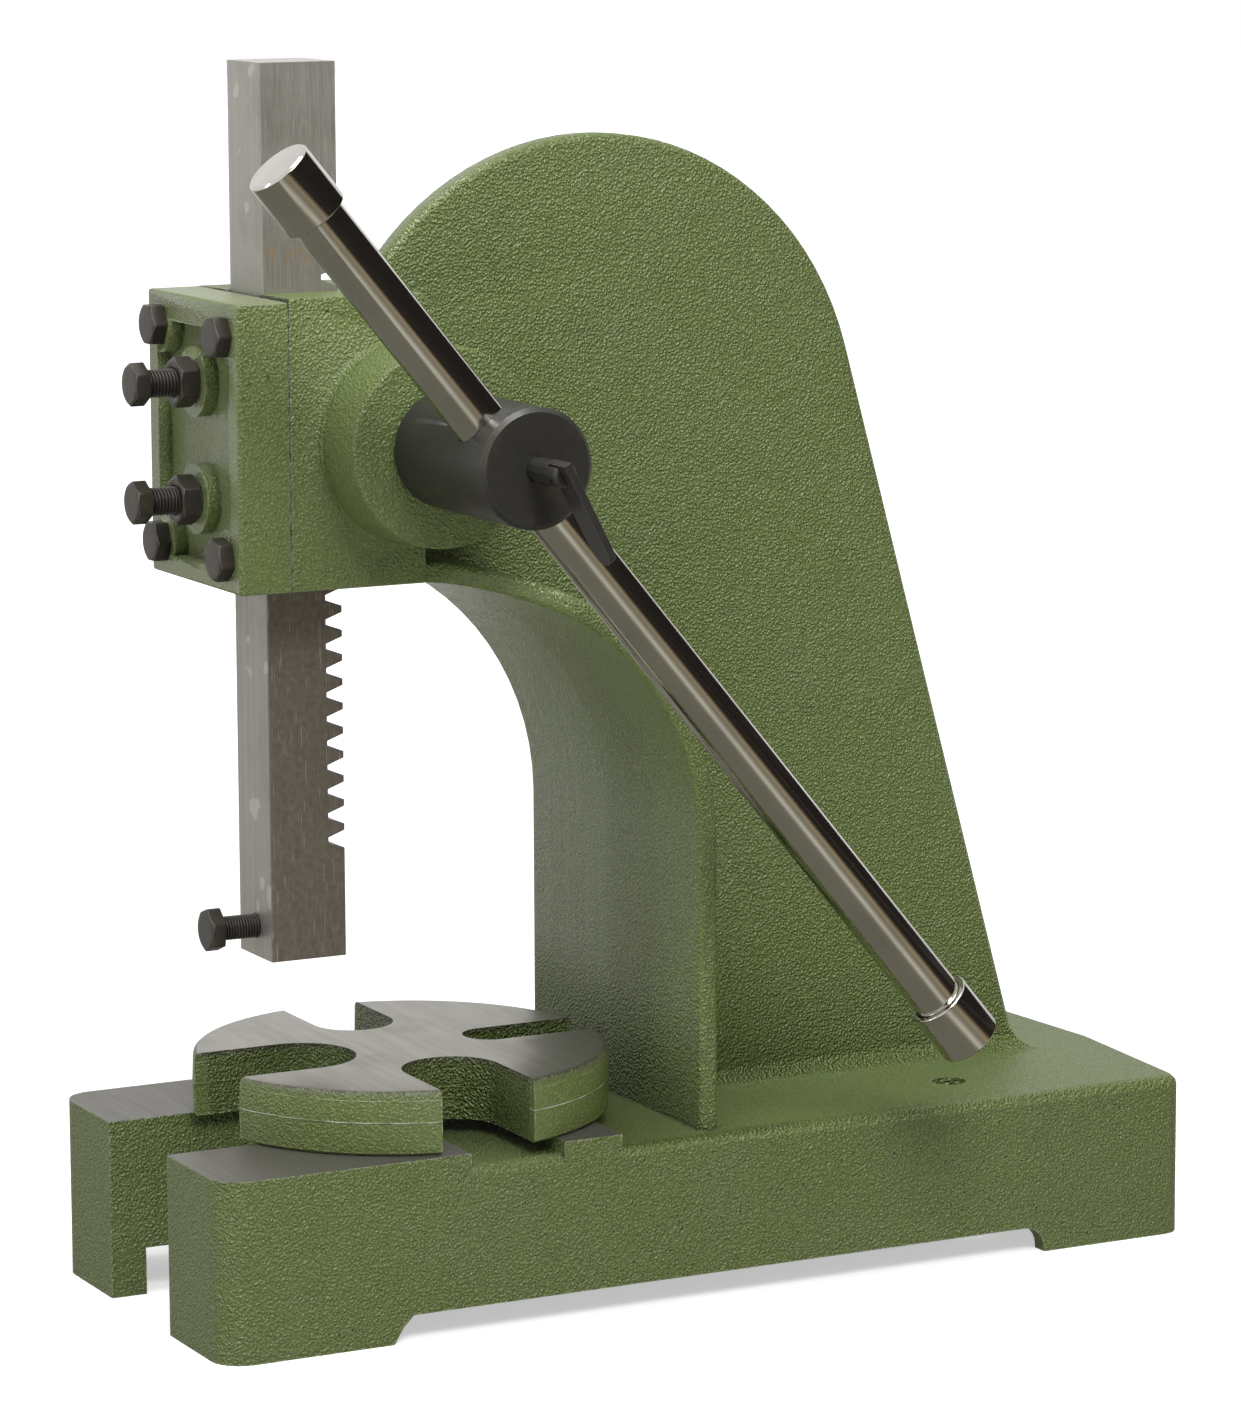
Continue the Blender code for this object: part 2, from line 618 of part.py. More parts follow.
def boss_profile(face, fillet):
    """Half section of the pinion boss from the web's middle out to its face."""
    foot = BOSS_RADIUS + BOSS_DRAFT
    sweep = arc(foot + fillet, WEB_HALF + fillet - JOIN_SINK, fillet, -math.pi / 2, -math.pi,
                2 * CORNER_STEPS)
    edge = arc(BOSS_RADIUS - BOSS_EDGE, face - BOSS_EDGE, BOSS_EDGE, 0, math.pi / 2, CORNER_STEPS)
    return [(0, 0), (foot + fillet, 0)] + sweep + edge + [(0, face)]


def head_fillet_profile():
    """Ring that fills the corner between the boss and the head's side."""
    inner = BOSS_RADIUS - OVERRUN
    foot = BOSS_RADIUS + BOSS_DRAFT + BOSS_HEAD_FILLET - 2 * JOIN_SINK
    height = HEAD_HALF + BOSS_HEAD_FILLET - JOIN_SINK
    start = HEAD_HALF - OVERRUN
    sweep = arc(foot, height, BOSS_HEAD_FILLET, -math.pi / 2, -math.pi, CORNER_STEPS + 1)
    return [(inner, start), (foot, start)] + sweep + [(inner, height)]


def shape_column(frame, root):
    """Flange, web, head and pinion bosses, all joined to the base."""
    join(frame, add_object("flange_form", loft_mesh(flange_loops()), parent=root))
    web = bevel_edges(prism_mesh(web_outline(), -WEB_HALF, WEB_HALF, "X"),
                      lambda edge: lies_at(edge, 0, WEB_HALF) or lies_at(edge, 0, -WEB_HALF),
                      WEB_EDGE, CORNER_STEPS)
    join(frame, add_object("web_form", web, parent=root))
    join(frame, add_object("web_foot_form", loft_mesh(web_foot_loops()), parent=root))
    head_end = [(-HEAD_HALF, HEAD_BOTTOM), (HEAD_HALF, HEAD_BOTTOM), (HEAD_HALF, HEAD_TOP),
                (-HEAD_HALF, HEAD_TOP - HEAD_TOP_LEAN)]
    head = bevel_edges(prism_mesh(head_end, HEAD_FRONT, HEAD_REAR, "Y"),
                       lambda edge: not lies_at(edge, 1, HEAD_FRONT), HEAD_EDGE, CORNER_STEPS - 1)
    join(frame, add_object("head_form", head, parent=root))
    root_half = HEAD_HALF - JOIN_SINK
    root_mesh = bevel_edges(prism_mesh(head_root_outline(), -root_half, root_half, "X"),
                            lambda edge: lies_at(edge, 0, root_half) or lies_at(edge, 0, -root_half),
                            FLANGE_EDGE, CORNER_STEPS)
    join(frame, add_object("head_root_form", root_mesh, parent=root))
    axis_place = (0, PINION_Y, PINION_Z)
    boss = lathe_mesh(boss_profile(BOSS_FACE, BOSS_WEB_FILLET), FINE_STEPS)
    join(frame, add_object("boss_form", boss, parent=root, location=axis_place))
    far_profile = [(radius, -along) for radius, along in boss_profile(-FAR_BOSS_FACE, BOSS_WEB_FILLET)]
    far_boss = lathe_mesh(far_profile, FINE_STEPS)
    join(frame, add_object("far_boss_form", far_boss, parent=root, location=axis_place))
    ring = add_object("boss_fillet_form", lathe_mesh(head_fillet_profile(), FINE_STEPS, closed=True),
                      parent=root, location=axis_place)
    behind = rectangle(HEAD_REAR - HEAD_EDGE, HEAD_REAR + 2 * BOSS_RADIUS, HEAD_BOTTOM - BOSS_RADIUS,
                       HEAD_TOP + BOSS_RADIUS)
    behind_mesh = prism_mesh(behind, -BOSS_FACE, 2 * BOSS_FACE, "X")
    cut(ring, add_object("boss_fillet_limit", behind_mesh, parent=root))
    join(frame, ring)


def bore_head(frame, root):
    """Ram channel, pinion cavity, shaft bores and the threaded holes of the cover bolts."""
    half = RAM_HALF + RUNNING_GAP
    channel = rectangle(-half, half, HEAD_FRONT - OVERRUN, RAM_HALF + RUNNING_GAP)
    channel_mesh = prism_mesh(channel, HEAD_BOTTOM - OVERRUN, HEAD_TOP + OVERRUN)
    cut(frame, add_object("channel_form", channel_mesh, parent=root))
    axis_place = (0, PINION_Y, PINION_Z)
    tip = PITCH_RADIUS + MODULE + CAVITY_GAP
    wall = PINION_FACE / 2 + CHEEK_GAP
    cavity = arc(PINION_Y, PINION_Z, tip, -math.pi / 2, math.pi / 2, ROUND_STEPS // 2)
    mouth = [(RAM_HALF - OVERRUN, PINION_Z + tip), (RAM_HALF - OVERRUN, PINION_Z - tip)]
    cut(frame, add_object("pinion_cavity_form", prism_mesh(cavity + mouth, -wall, wall, "X"), parent=root))
    small = SHAFT_RADIUS + RUNNING_GAP
    large = JOURNAL_RADIUS + RUNNING_GAP
    far = FAR_BOSS_FACE - OVERRUN
    bore = lathe_mesh([(0, far), (small, far), (small, 0), (large, 0), (large, BOSS_FACE + OVERRUN),
                       (0, BOSS_FACE + OVERRUN)], ROUND_STEPS)
    cut(frame, add_object("shaft_bore_form", bore, parent=root, location=axis_place))
    for index, (x, z, turn) in enumerate(cover_bolt_places(), start=1):
        hole = circle(x, z, COVER_BOLT_RADIUS + SEAT_GAP, SMALL_STEPS)
        depth = COVER_BOLT_LENGTH - COVER_THICKNESS + SEAT_GAP
        hole_mesh = prism_mesh(hole, HEAD_FRONT - OVERRUN, HEAD_FRONT + depth, "Y")
        cut(frame, add_object("cover_bolt_hole_form_%d" % index, hole_mesh, parent=root))


def make_frame(root, material):
    """The one iron casting: base, column, head and bosses."""
    body = bevel_edges(prism_mesh(base_outline(), 0, BASE_TOP), lambda edge: lies_at(edge, 2, BASE_TOP),
                       BASE_TOP_EDGE, CORNER_STEPS)
    frame = add_object("frame_casting", body, material, root)
    shape_base(frame, root)
    shape_column(frame, root)
    tidy(frame)
    bore_head(frame, root)
    return tidy(frame)


# Screws and nuts


def cover_bolt_places():
    """Places (x, z) of the four cover bolts and how far each hex is turned."""
    x = HEAD_HALF - COVER_BOLT_INSET_X
    high = COVER_TOP - COVER_BOLT_INSET_Z
    low = HEAD_BOTTOM + COVER_BOLT_INSET_Z
    places = [(x, high), (-x, high), (x, low), (-x, low)]
    return [place + (turn,) for place, turn in zip(places, COVER_BOLT_TURNS)]


def ring(radii, angles, height):
    """A loop of points round the Z axis, each with its own radius."""
    pairs = zip(radii, angles)
    return [(radius * math.cos(angle), radius * math.sin(angle), height) for radius, angle in pairs]


def hex_rings(half_flats, turn, low, high, low_chamfer):
    """Loops up the outside of a hex with chamfered corners at its high end, and at its low end if asked."""
    side = math.pi / 3
    angles = [turn + side * step / HEX_SIDE_STEPS for step in range(6 * HEX_SIDE_STEPS)]
    reach = [half_flats / math.cos((angle - turn) % side - side / 2) for angle in angles]
    disc = half_flats * HEX_FACE_SHARE
    drop = [(radius - disc) * math.tan(HEX_CHAMFER_ANGLE) for radius in reach]
    discs = [disc] * len(angles)
    top = [(x, y, high - fall) for (x, y, z), fall in zip(ring(reach, angles, high), drop)]
    bottom = ring(reach, angles, low)
    loops = [top, ring(discs, angles, high)]
    if low_chamfer:
        raised = [(x, y, low + fall) for (x, y, z), fall in zip(bottom, drop)]
        return angles, [ring(discs, angles, low), raised] + loops
    return angles, [bottom] + loops


def hex_screw_mesh(sizes, length, turn, axis):
    """Hex screw that bears at the origin: its shank runs along the axis, its head the other way."""
    half_flats, head, shank = sizes
    angles, head_loops = hex_rings(half_flats, turn, 0, head, False)
    around = len(angles)
    tip = shank - SCREW_END_CHAMFER
    shank_places = [(tip, -length), (shank, SCREW_END_CHAMFER - length), (shank, 0)]
    shank_loops = [ring([radius] * around, angles, height) for radius, height in shank_places]
    bm = loft_mesh(shank_loops + head_loops)
    bmesh.ops.transform(bm, matrix=AXIS_TURNS[axis] @ Matrix.Rotation(math.pi, 4, "X"), verts=bm.verts)
    return bm


def nut_mesh(sizes, turn, axis):
    """Hex nut that bears at the origin and stands the other way from the axis."""
    half_flats, thickness, shank = sizes
    angles, outside = hex_rings(half_flats, turn, 0, thickness, True)
    hole = [shank + SEAT_GAP] * len(angles)
    bm = loft_mesh([ring(hole, angles, 0)] + outside + [ring(hole, angles, thickness)], closed=True)
    bmesh.ops.transform(bm, matrix=AXIS_TURNS[axis] @ Matrix.Rotation(math.pi, 4, "X"), verts=bm.verts)
    return bm


# Cover and gib


def cover_panel(root):
    """Guide for the sunk panel of the cover, which leaves its round bosses standing."""
    left, right = PANEL_SIDE_RIM - HEAD_HALF, HEAD_HALF - PANEL_SIDE_RIM
    outline = rounded_rectangle(left, right, HEAD_BOTTOM + PANEL_BOTTOM_RIM, COVER_TOP - PANEL_TOP_RIM,
                                PANEL_RADIUS, CORNER_STEPS)
    floor = COVER_FRONT + PANEL_DEPTH
    panel = add_object("panel_form", prism_mesh(outline, COVER_FRONT - OVERRUN, floor, "Y"), parent=root)
    rounds = [(x, z, CORNER_BOSS_RADIUS) for x, z, turn in cover_bolt_places()]
    rounds += [(0, z, GIB_BOSS_RADIUS) for z in gib_screw_heights()]
    for index, (x, z, radius) in enumerate(rounds, start=1):
        boss = prism_mesh(circle(x, z, radius, ROUND_STEPS), COVER_FRONT - 2 * OVERRUN, floor + OVERRUN, "Y")
        cut(panel, add_object("cover_boss_form_%d" % index, boss, parent=root))
    return panel


def gib_screw_heights():
    """Heights of the two gib screws, even about the cover's middle."""
    return [COVER_MIDDLE + GIB_SCREW_SPACING / 2, COVER_MIDDLE - GIB_SCREW_SPACING / 2]


def make_cover(root, material):
    """Cover plate that closes the ram's channel, with its bolt holes and the pocket of the gib."""
    outline = rectangle(-HEAD_HALF, HEAD_HALF, HEAD_BOTTOM, COVER_TOP)
    body = bevel_edges(prism_mesh(outline, COVER_FRONT, COVER_BACK, "Y"),
                       lambda edge: not lies_at(edge, 1, COVER_BACK), COVER_EDGE, CORNER_STEPS - 1)
    cover = add_object("ram_cover", body, material, root)
    cut(cover, cover_panel(root))
    side = GIB_HALF_WIDTH + SEAT_GAP
    reach = GIB_LENGTH / 2 + SEAT_GAP
    pocket = rectangle(-side, side, COVER_MIDDLE - reach, COVER_MIDDLE + reach)
    pocket_mesh = prism_mesh(pocket, GIB_FRONT - SEAT_GAP, COVER_BACK + OVERRUN, "Y")
    cut(cover, add_object("gib_pocket_form", pocket_mesh, parent=root))
    holes = [(x, z, COVER_BOLT_RADIUS) for x, z, turn in cover_bolt_places()]
    holes += [(0, z, GIB_SCREW_RADIUS) for z in gib_screw_heights()]
    for index, (x, z, radius) in enumerate(holes, start=1):
        hole = prism_mesh(circle(x, z, radius + SEAT_GAP, SMALL_STEPS), COVER_FRONT - OVERRUN,
                          COVER_BACK + OVERRUN, "Y")
        cut(cover, add_object("cover_hole_form_%d" % index, hole, parent=root))
    return tidy(cover)


def make_cover_screws(root, material):
    """Four cover bolts, and two gib screws with their lock nuts."""
    seat = COVER_FRONT - SEAT_GAP
    for index, (x, z, turn) in enumerate(cover_bolt_places(), start=1):
        bolt = hex_screw_mesh(COVER_BOLT_HEX, COVER_BOLT_LENGTH, turn, "Y")
        add_object("cover_bolt_%d" % index, bolt, material, root, (x, seat, z))
    bearing = COVER_FRONT - GIB_SCREW_STANDOFF
    length = GIB_FRONT - SEAT_GAP - bearing
    for label, z in zip(("upper", "lower"), gib_screw_heights()):
        screw = hex_screw_mesh(GIB_SCREW_HEX, length, GIB_SCREW_TURN, "Y")
        add_object("gib_screw_" + label, screw, material, root, (0, bearing, z))
        nut = nut_mesh(GIB_NUT_HEX, GIB_SCREW_TURN, "Y")
        add_object("gib_nut_" + label, nut, material, root, (0, seat, z))


def make_gib(root, material):
    """Flat strip between the cover and the ram's front face."""
    outline = rectangle(-GIB_HALF_WIDTH, GIB_HALF_WIDTH, -GIB_LENGTH / 2, GIB_LENGTH / 2)
    gib = prism_mesh(outline, 0, GIB_THICKNESS, "Y")
    return add_object("gib_plate", gib, material, root, (0, GIB_FRONT, COVER_MIDDLE), keep_sharp=True)


# Ram


def rack_gap(height):
    """Outline points (y, z) of one gap between rack teeth, from its upper lip down."""
    slope = math.tan(PRESSURE_ANGLE)
    pitch_half = RACK_PITCH / 4
    lip = pitch_half + MODULE * slope
    depth = MODULE * (1 + ROOT_DEPTH_SHARE)
    root_half = pitch_half - MODULE * ROOT_DEPTH_SHARE * slope
    return [(RAM_HALF, height + lip), (RAM_HALF - depth, height + root_half),
            (RAM_HALF - depth, height - root_half), (RAM_HALF, height - lip)]


def ram_outline():
    """Side view (y, z) of the ram from its lower end, with rack teeth on its rear face."""
    points = [(RAM_HALF, RAM_LENGTH), (-RAM_HALF, RAM_LENGTH), (-RAM_HALF, 0), (RAM_HALF, 0)]
    gaps = []
    for index in reversed(range(RACK_GAPS)):
        gaps += rack_gap(RACK_FIRST_GAP + index * RACK_PITCH)
    return points + gaps[::-1]


def make_ram(parent, material, screw_material):
    """Square toothed ram with a tool socket in its lower end and a screw to hold the tool."""
    body = bevel_edges(prism_mesh(ram_outline(), -RAM_HALF, RAM_HALF, "X"),
                       lambda edge: lies_at(edge, 1, -RAM_HALF) and lies_upright(edge), RAM_EDGE, 1)
    ram = add_object("ram", body, material, parent)
    socket = prism_mesh(circle(0, 0, TOOL_BORE_RADIUS, SMALL_STEPS), -OVERRUN, TOOL_BORE_DEPTH)
    cut(ram, add_object("tool_socket_form", socket, parent=parent))
    hole = circle(0, TOOL_SCREW_HEIGHT, TOOL_SCREW_RADIUS + SEAT_GAP, SMALL_STEPS)
    cut(ram, add_object("tool_screw_hole_form", prism_mesh(hole, -RAM_SIDE, 0, "Y"), parent=parent))
    bearing = -RAM_HALF - TOOL_SCREW_STANDOFF
    length = TOOL_SCREW_STANDOFF + RAM_HALF - TOOL_BORE_RADIUS - TOOL_SCREW_TIP
    screw = hex_screw_mesh(TOOL_SCREW_HEX, length, TOOL_SCREW_TURN, "Y")
    add_object("tool_set_screw", screw, screw_material, parent, (0, bearing, TOOL_SCREW_HEIGHT))
    return tidy(ram)


# Pinion gear, its shaft and what keeps the shaft in place


def flank_angle(radius):
    """Half angle that a tooth spans at a radius: involute flanks, narrower below the base circle."""
    base = PITCH_RADIUS * math.cos(PRESSURE_ANGLE)
    at_pitch = (RACK_PITCH - TOOTH_PLAY) / (4 * PITCH_RADIUS)
    turn = math.tan(PRESSURE_ANGLE) - PRESSURE_ANGLE
    if radius > base:
        lean = math.acos(base / radius)
        return at_pitch + turn - (math.tan(lean) - lean)
    return at_pitch + turn - TOOTH_UNDERCUT * (base - radius) / (MODULE * radius)


def gear_outline(first_tooth):
    """Outline of the pinion about its own centre, first tooth at an angle."""
    outer = PITCH_RADIUS + MODULE
    root = PITCH_RADIUS - MODULE * ROOT_DEPTH_SHARE
    radii = [root + (outer - root) * step / FLANK_POINTS for step in range(FLANK_POINTS + 1)]
    points = []
    for tooth in range(PINION_TEETH):
        centre = first_tooth + 2 * math.pi * tooth / PINION_TEETH
        rising = [(radius, centre - flank_angle(radius)) for radius in radii]
        falling = [(radius, centre + flank_angle(radius)) for radius in reversed(radii)]
        for radius, angle in rising + falling:
            points.append((radius * math.cos(angle), radius * math.sin(angle)))
    return points


def first_tooth_angle():
    """Angle of the tooth that sits in the rack gap nearest the pinion's height."""
    lowest = RAM_REST_HEIGHT + RACK_FIRST_GAP
    index = round((PINION_Z - lowest) / RACK_PITCH)
    return math.pi - (lowest + index * RACK_PITCH - PINION_Z) / PITCH_RADIUS


def make_gear(pinion, material):
    """Pinion gear with its bore and keyway, and the key."""
    half = PINION_FACE / 2
    gear = add_object("pinion_gear", prism_mesh(gear_outline(first_tooth_angle()), -half, half, "X"),
                      material, pinion)
    reach = half + OVERRUN
    bore = prism_mesh(circle(0, 0, SHAFT_RADIUS + SEAT_GAP, ROUND_STEPS), -reach, reach, "X")
    cut(gear, add_object("gear_bore_form", bore, parent=pinion))
    key_low = SHAFT_RADIUS - KEY_SEAT_DEPTH
    key_side = KEY_WIDTH / 2
    keyway = rectangle(-key_side - SEAT_GAP, key_side + SEAT_GAP, 0, key_low + KEY_HEIGHT + SEAT_GAP)
    cut(gear, add_object("keyway_form", prism_mesh(keyway, -reach, reach, "X"), parent=pinion))
    key_half = KEY_LENGTH / 2
    key = prism_mesh(rectangle(-key_side, key_side, key_low, key_low + KEY_HEIGHT), -key_half, key_half, "X")
    add_object("pinion_key", key, material, pinion, keep_sharp=True)
    return tidy(gear)


def shaft_profile():
    """Half section (radius, x) of the shaft from its far end to the face of its hub."""
    far = FAR_BOSS_FACE - RUNNING_GAP
    shoulder = PINION_FACE / 2 + SEAT_GAP
    eased = HUB_RADIUS - HUB_CHAMFER
    return [(0, far), (SHAFT_RADIUS - SHAFT_END_CHAMFER, far), (SHAFT_RADIUS, far + SHAFT_END_CHAMFER),
            (SHAFT_RADIUS, shoulder), (JOURNAL_RADIUS, shoulder), (JOURNAL_RADIUS, HUB_START),
            (eased, HUB_START), (HUB_RADIUS, HUB_START + HUB_CHAMFER), (HUB_RADIUS, HUB_END - HUB_CHAMFER),
            (eased, HUB_END), (0, HUB_END)]


def make_shaft(pinion, material):
    """Shaft with keyseat, cross hole for the lever, clamp screw hole and tapped far end."""
    shaft = add_object("pinion_shaft", lathe_mesh(shaft_profile(), ROUND_STEPS), material, pinion)
    seat_half = KEY_LENGTH / 2 + SEAT_GAP
    seat_side = KEY_WIDTH / 2 + SEAT_GAP
    seat = rectangle(-seat_side, seat_side, SHAFT_RADIUS - KEY_SEAT_DEPTH - SEAT_GAP, SHAFT_RADIUS + OVERRUN)
    cut(shaft, add_object("keyseat_form", prism_mesh(seat, -seat_half, seat_half, "X"), parent=pinion))
    reach = HUB_RADIUS + OVERRUN
    cross = LEVER_RADIUS + RUNNING_GAP
    cross_mesh = lathe_mesh([(0, -reach), (cross, -reach), (cross, reach), (0, reach)], ROUND_STEPS, "LEVER")
    cut(shaft, add_object("lever_hole_form", cross_mesh, parent=pinion, location=(LEVER_X, 0, 0)))
    clamp_hole = circle(0, 0, CLAMP_RADIUS + RUNNING_GAP, SMALL_STEPS)
    clamp_mesh = prism_mesh(clamp_hole, LEVER_X, HUB_END + OVERRUN, "X")
    cut(shaft, add_object("clamp_hole_form", clamp_mesh, parent=pinion))
    far = FAR_BOSS_FACE - RUNNING_GAP
    tapped = prism_mesh(circle(0, 0, SHAFT_SCREW_RADIUS + SEAT_GAP, SMALL_STEPS), far - OVERRUN,
                        far + SHAFT_SCREW_LENGTH - WASHER_THICKNESS, "X")
    cut(shaft, add_object("tapped_hole_form", tapped, parent=pinion))
    return tidy(shaft)


def make_retainer(pinion, material):
    """Washer and hex screw on the far end of the shaft."""
    inner_face = FAR_BOSS_FACE - RUNNING_GAP - SEAT_GAP
    profile = [(WASHER_HOLE_RADIUS, -WASHER_THICKNESS), (WASHER_RADIUS - CAP_CHAMFER, -WASHER_THICKNESS),
               (WASHER_RADIUS, CAP_CHAMFER - WASHER_THICKNESS), (WASHER_RADIUS, 0), (WASHER_HOLE_RADIUS, 0)]
    add_object("retaining_washer", lathe_mesh(profile, ROUND_STEPS, closed=True), material, pinion,
               (inner_face, 0, 0))
    screw = hex_screw_mesh(SHAFT_SCREW_HEX, SHAFT_SCREW_LENGTH - 2 * SEAT_GAP, 0, "X")
    add_object("retaining_screw", screw, material, pinion, (inner_face - WASHER_THICKNESS - SEAT_GAP, 0, 0))


# Lever and its clamp


def make_lever(lever, material):
    """Round bar with a cap on each end, along the lever's own axis."""
    upper = CAP_END_WALL + SEAT_GAP - LEVER_ABOVE
    lower = LEVER_BELOW - CAP_END_WALL - SEAT_GAP
    eased = LEVER_RADIUS - CAP_CHAMFER
    bar = [(0, upper), (eased, upper), (LEVER_RADIUS, upper + CAP_CHAMFER),
           (LEVER_RADIUS, lower - CAP_CHAMFER), (eased, lower), (0, lower)]
    add_object("lever_bar", lathe_mesh(bar, ROUND_STEPS, "LEVER"), material, lever)
    socket = LEVER_RADIUS + SEAT_GAP
    for name, end, inward in (("lever_cap_upper", -LEVER_ABOVE, 1), ("lever_cap_lower", LEVER_BELOW, -1)):
        floor = end + inward * CAP_END_WALL
        mouth = end + inward * CAP_LENGTH
        edge = inward * CAP_CHAMFER
        face = CAP_RADIUS - CAP_CHAMFER
        profile = [(0, end), (face, end), (CAP_RADIUS, end + edge), (CAP_RADIUS, mouth - edge),
                   (face, mouth), (socket, mouth), (socket, floor), (0, floor)]
        add_object(name, lathe_mesh(profile, ROUND_STEPS, "LEVER"), material, lever)


def blade_outline():
    """Outline of the clamp blade: u along the screw, v outward; the tip is round."""
    low = CLAMP_END - BLADE_SLOT_DEPTH
    middle = low + BLADE_ROOT_WIDTH / 2
    tip = BLADE_TIP_WIDTH / 2
    end = arc(middle, BLADE_REACH - tip, tip, 0, math.pi, 4 * CORNER_STEPS)
    return [(low, -BLADE_ROOT_REACH), (low + BLADE_ROOT_WIDTH, -BLADE_ROOT_REACH)] + end


def make_clamp(clamp, material):
    """Clamp screw with a slot in its end, the blade that turns it and the pin through both."""
    face = CLAMP_RADIUS - CLAMP_CHAMFER
    profile = [(0, CLAMP_START), (face, CLAMP_START), (CLAMP_RADIUS, CLAMP_START + CLAMP_CHAMFER),
               (CLAMP_RADIUS, CLAMP_END - CLAMP_CHAMFER), (face, CLAMP_END), (0, CLAMP_END)]
    screw = add_object("clamp_screw", lathe_mesh(profile, SMALL_STEPS), material, clamp)
    turn = Matrix.Rotation(BLADE_ANGLE, 4, "X")
    floor = CLAMP_END - BLADE_SLOT_DEPTH - SEAT_GAP
    slot_half = BLADE_THICKNESS / 2 + SEAT_GAP
    slot_reach = CLAMP_RADIUS + OVERRUN
    slot_side = rectangle(floor, CLAMP_END + OVERRUN, -slot_reach, slot_reach)
    slot = prism_mesh(slot_side, -slot_half, slot_half, "Y")
    bmesh.ops.transform(slot, matrix=turn, verts=slot.verts)
    cut(screw, add_object("blade_slot_form", slot, parent=clamp))
    pin_x = CLAMP_END - BLADE_PIN_INSET
    hole_half = CLAMP_RADIUS + OVERRUN
    blade_half = BLADE_THICKNESS / 2
    blade_mesh = prism_mesh([(u, -v) for u, v in reversed(blade_outline())], -blade_half, blade_half, "Y")
    bmesh.ops.transform(blade_mesh, matrix=turn, verts=blade_mesh.verts)
    blade = add_object("clamp_blade", blade_mesh, material, clamp)
    hole = prism_mesh(circle(pin_x, 0, BLADE_PIN_RADIUS + SEAT_GAP, SMALL_STEPS), -hole_half, hole_half, "Y")
    bmesh.ops.transform(hole, matrix=turn, verts=hole.verts)
    hole_form = add_object("blade_pin_hole_form", hole, parent=clamp)
    cut(screw, hole_form)
    cut(blade, hole_form)
    pin_half = CLAMP_RADIUS - CLAMP_CHAMFER / 2
    pin = prism_mesh(circle(pin_x, 0, BLADE_PIN_RADIUS, SMALL_STEPS), -pin_half, pin_half, "Y")
    bmesh.ops.transform(pin, matrix=turn, verts=pin.verts)
    add_object("clamp_blade_pin", pin, material, clamp)


# Anvil plate


def make_anvil(turntable, root, material, pin_material):
    """Round plate with four slots of different widths, on a pivot pin."""
    low, high = ANVIL_BOTTOM, ANVIL_BOTTOM + ANVIL_THICKNESS
    rim = ANVIL_RADIUS - ANVIL_TAPER
    top = arc(rim - ANVIL_TOP_ROUND, high - ANVIL_TOP_ROUND, ANVIL_TOP_ROUND, 0, math.pi / 2, CORNER_STEPS)
    profile = [(0, low), (rim - ANVIL_BOTTOM_CHAMFER, low), (rim, low + ANVIL_BOTTOM_CHAMFER),
               (ANVIL_RADIUS, (low + high) / 2)] + top + [(0, high)]
    plate = add_object("anvil_plate", lathe_mesh(profile, 2 * FINE_STEPS, "Z"), material, turntable)
    sides = (("right", RIGHT_SLOT_HALF_WIDTH, RIGHT_SLOT_CENTRE),
             ("rear", REAR_SLOT_HALF_WIDTH, REAR_SLOT_CENTRE),
             ("left", LEFT_SLOT_HALF_WIDTH, LEFT_SLOT_CENTRE),
             ("front", FRONT_SLOT_HALF_WIDTH, FRONT_SLOT_CENTRE))
    for index, (label, half_width, centre) in enumerate(sides):
        end = arc(centre, 0, half_width, math.pi / 2, 3 * math.pi / 2, 5 * CORNER_STEPS)
        outline = end + [(ANVIL_RADIUS + OVERRUN, -half_width), (ANVIL_RADIUS + OVERRUN, half_width)]
        slot = prism_mesh(outline, low - OVERRUN, high + OVERRUN)
        bmesh.ops.transform(slot, matrix=Matrix.Rotation(index * math.pi / 2, 4, "Z"), verts=slot.verts)
        cut(plate, add_object("anvil_slot_form_" + label, slot, parent=turntable))
    bore = prism_mesh(circle(0, 0, PIVOT_RADIUS + RUNNING_GAP, SMALL_STEPS), low - OVERRUN,
                      low + PIVOT_IN_PLATE + RUNNING_GAP)
    cut(plate, add_object("pivot_bore_form", bore, parent=turntable))
    pin_low, pin_high = BASE_TOP - PIVOT_IN_BASE, ANVIL_BOTTOM + PIVOT_IN_PLATE
    ease = PIVOT_RADIUS - CAP_CHAMFER
    pin = [(0, pin_low), (ease, pin_low), (PIVOT_RADIUS, pin_low + CAP_CHAMFER),
           (PIVOT_RADIUS, pin_high - CAP_CHAMFER), (ease, pin_high), (0, pin_high)]
    add_object("anvil_pivot_pin", lathe_mesh(pin, SMALL_STEPS, "Z"), pin_material, root, (0, ANVIL_Y, 0))
    return tidy(plate)


# Whole press


def add_place(name, location, parent=None):
    """An empty that moving pieces hang from."""
    place = bpy.data.objects.new(name, None)
    bpy.context.scene.collection.objects.link(place)
    place.parent = parent
    place.location = location
    return place


def clear_scene():
    """Start from an empty scene."""
    for thing in list(bpy.data.objects):
        bpy.data.objects.remove(thing, do_unlink=True)


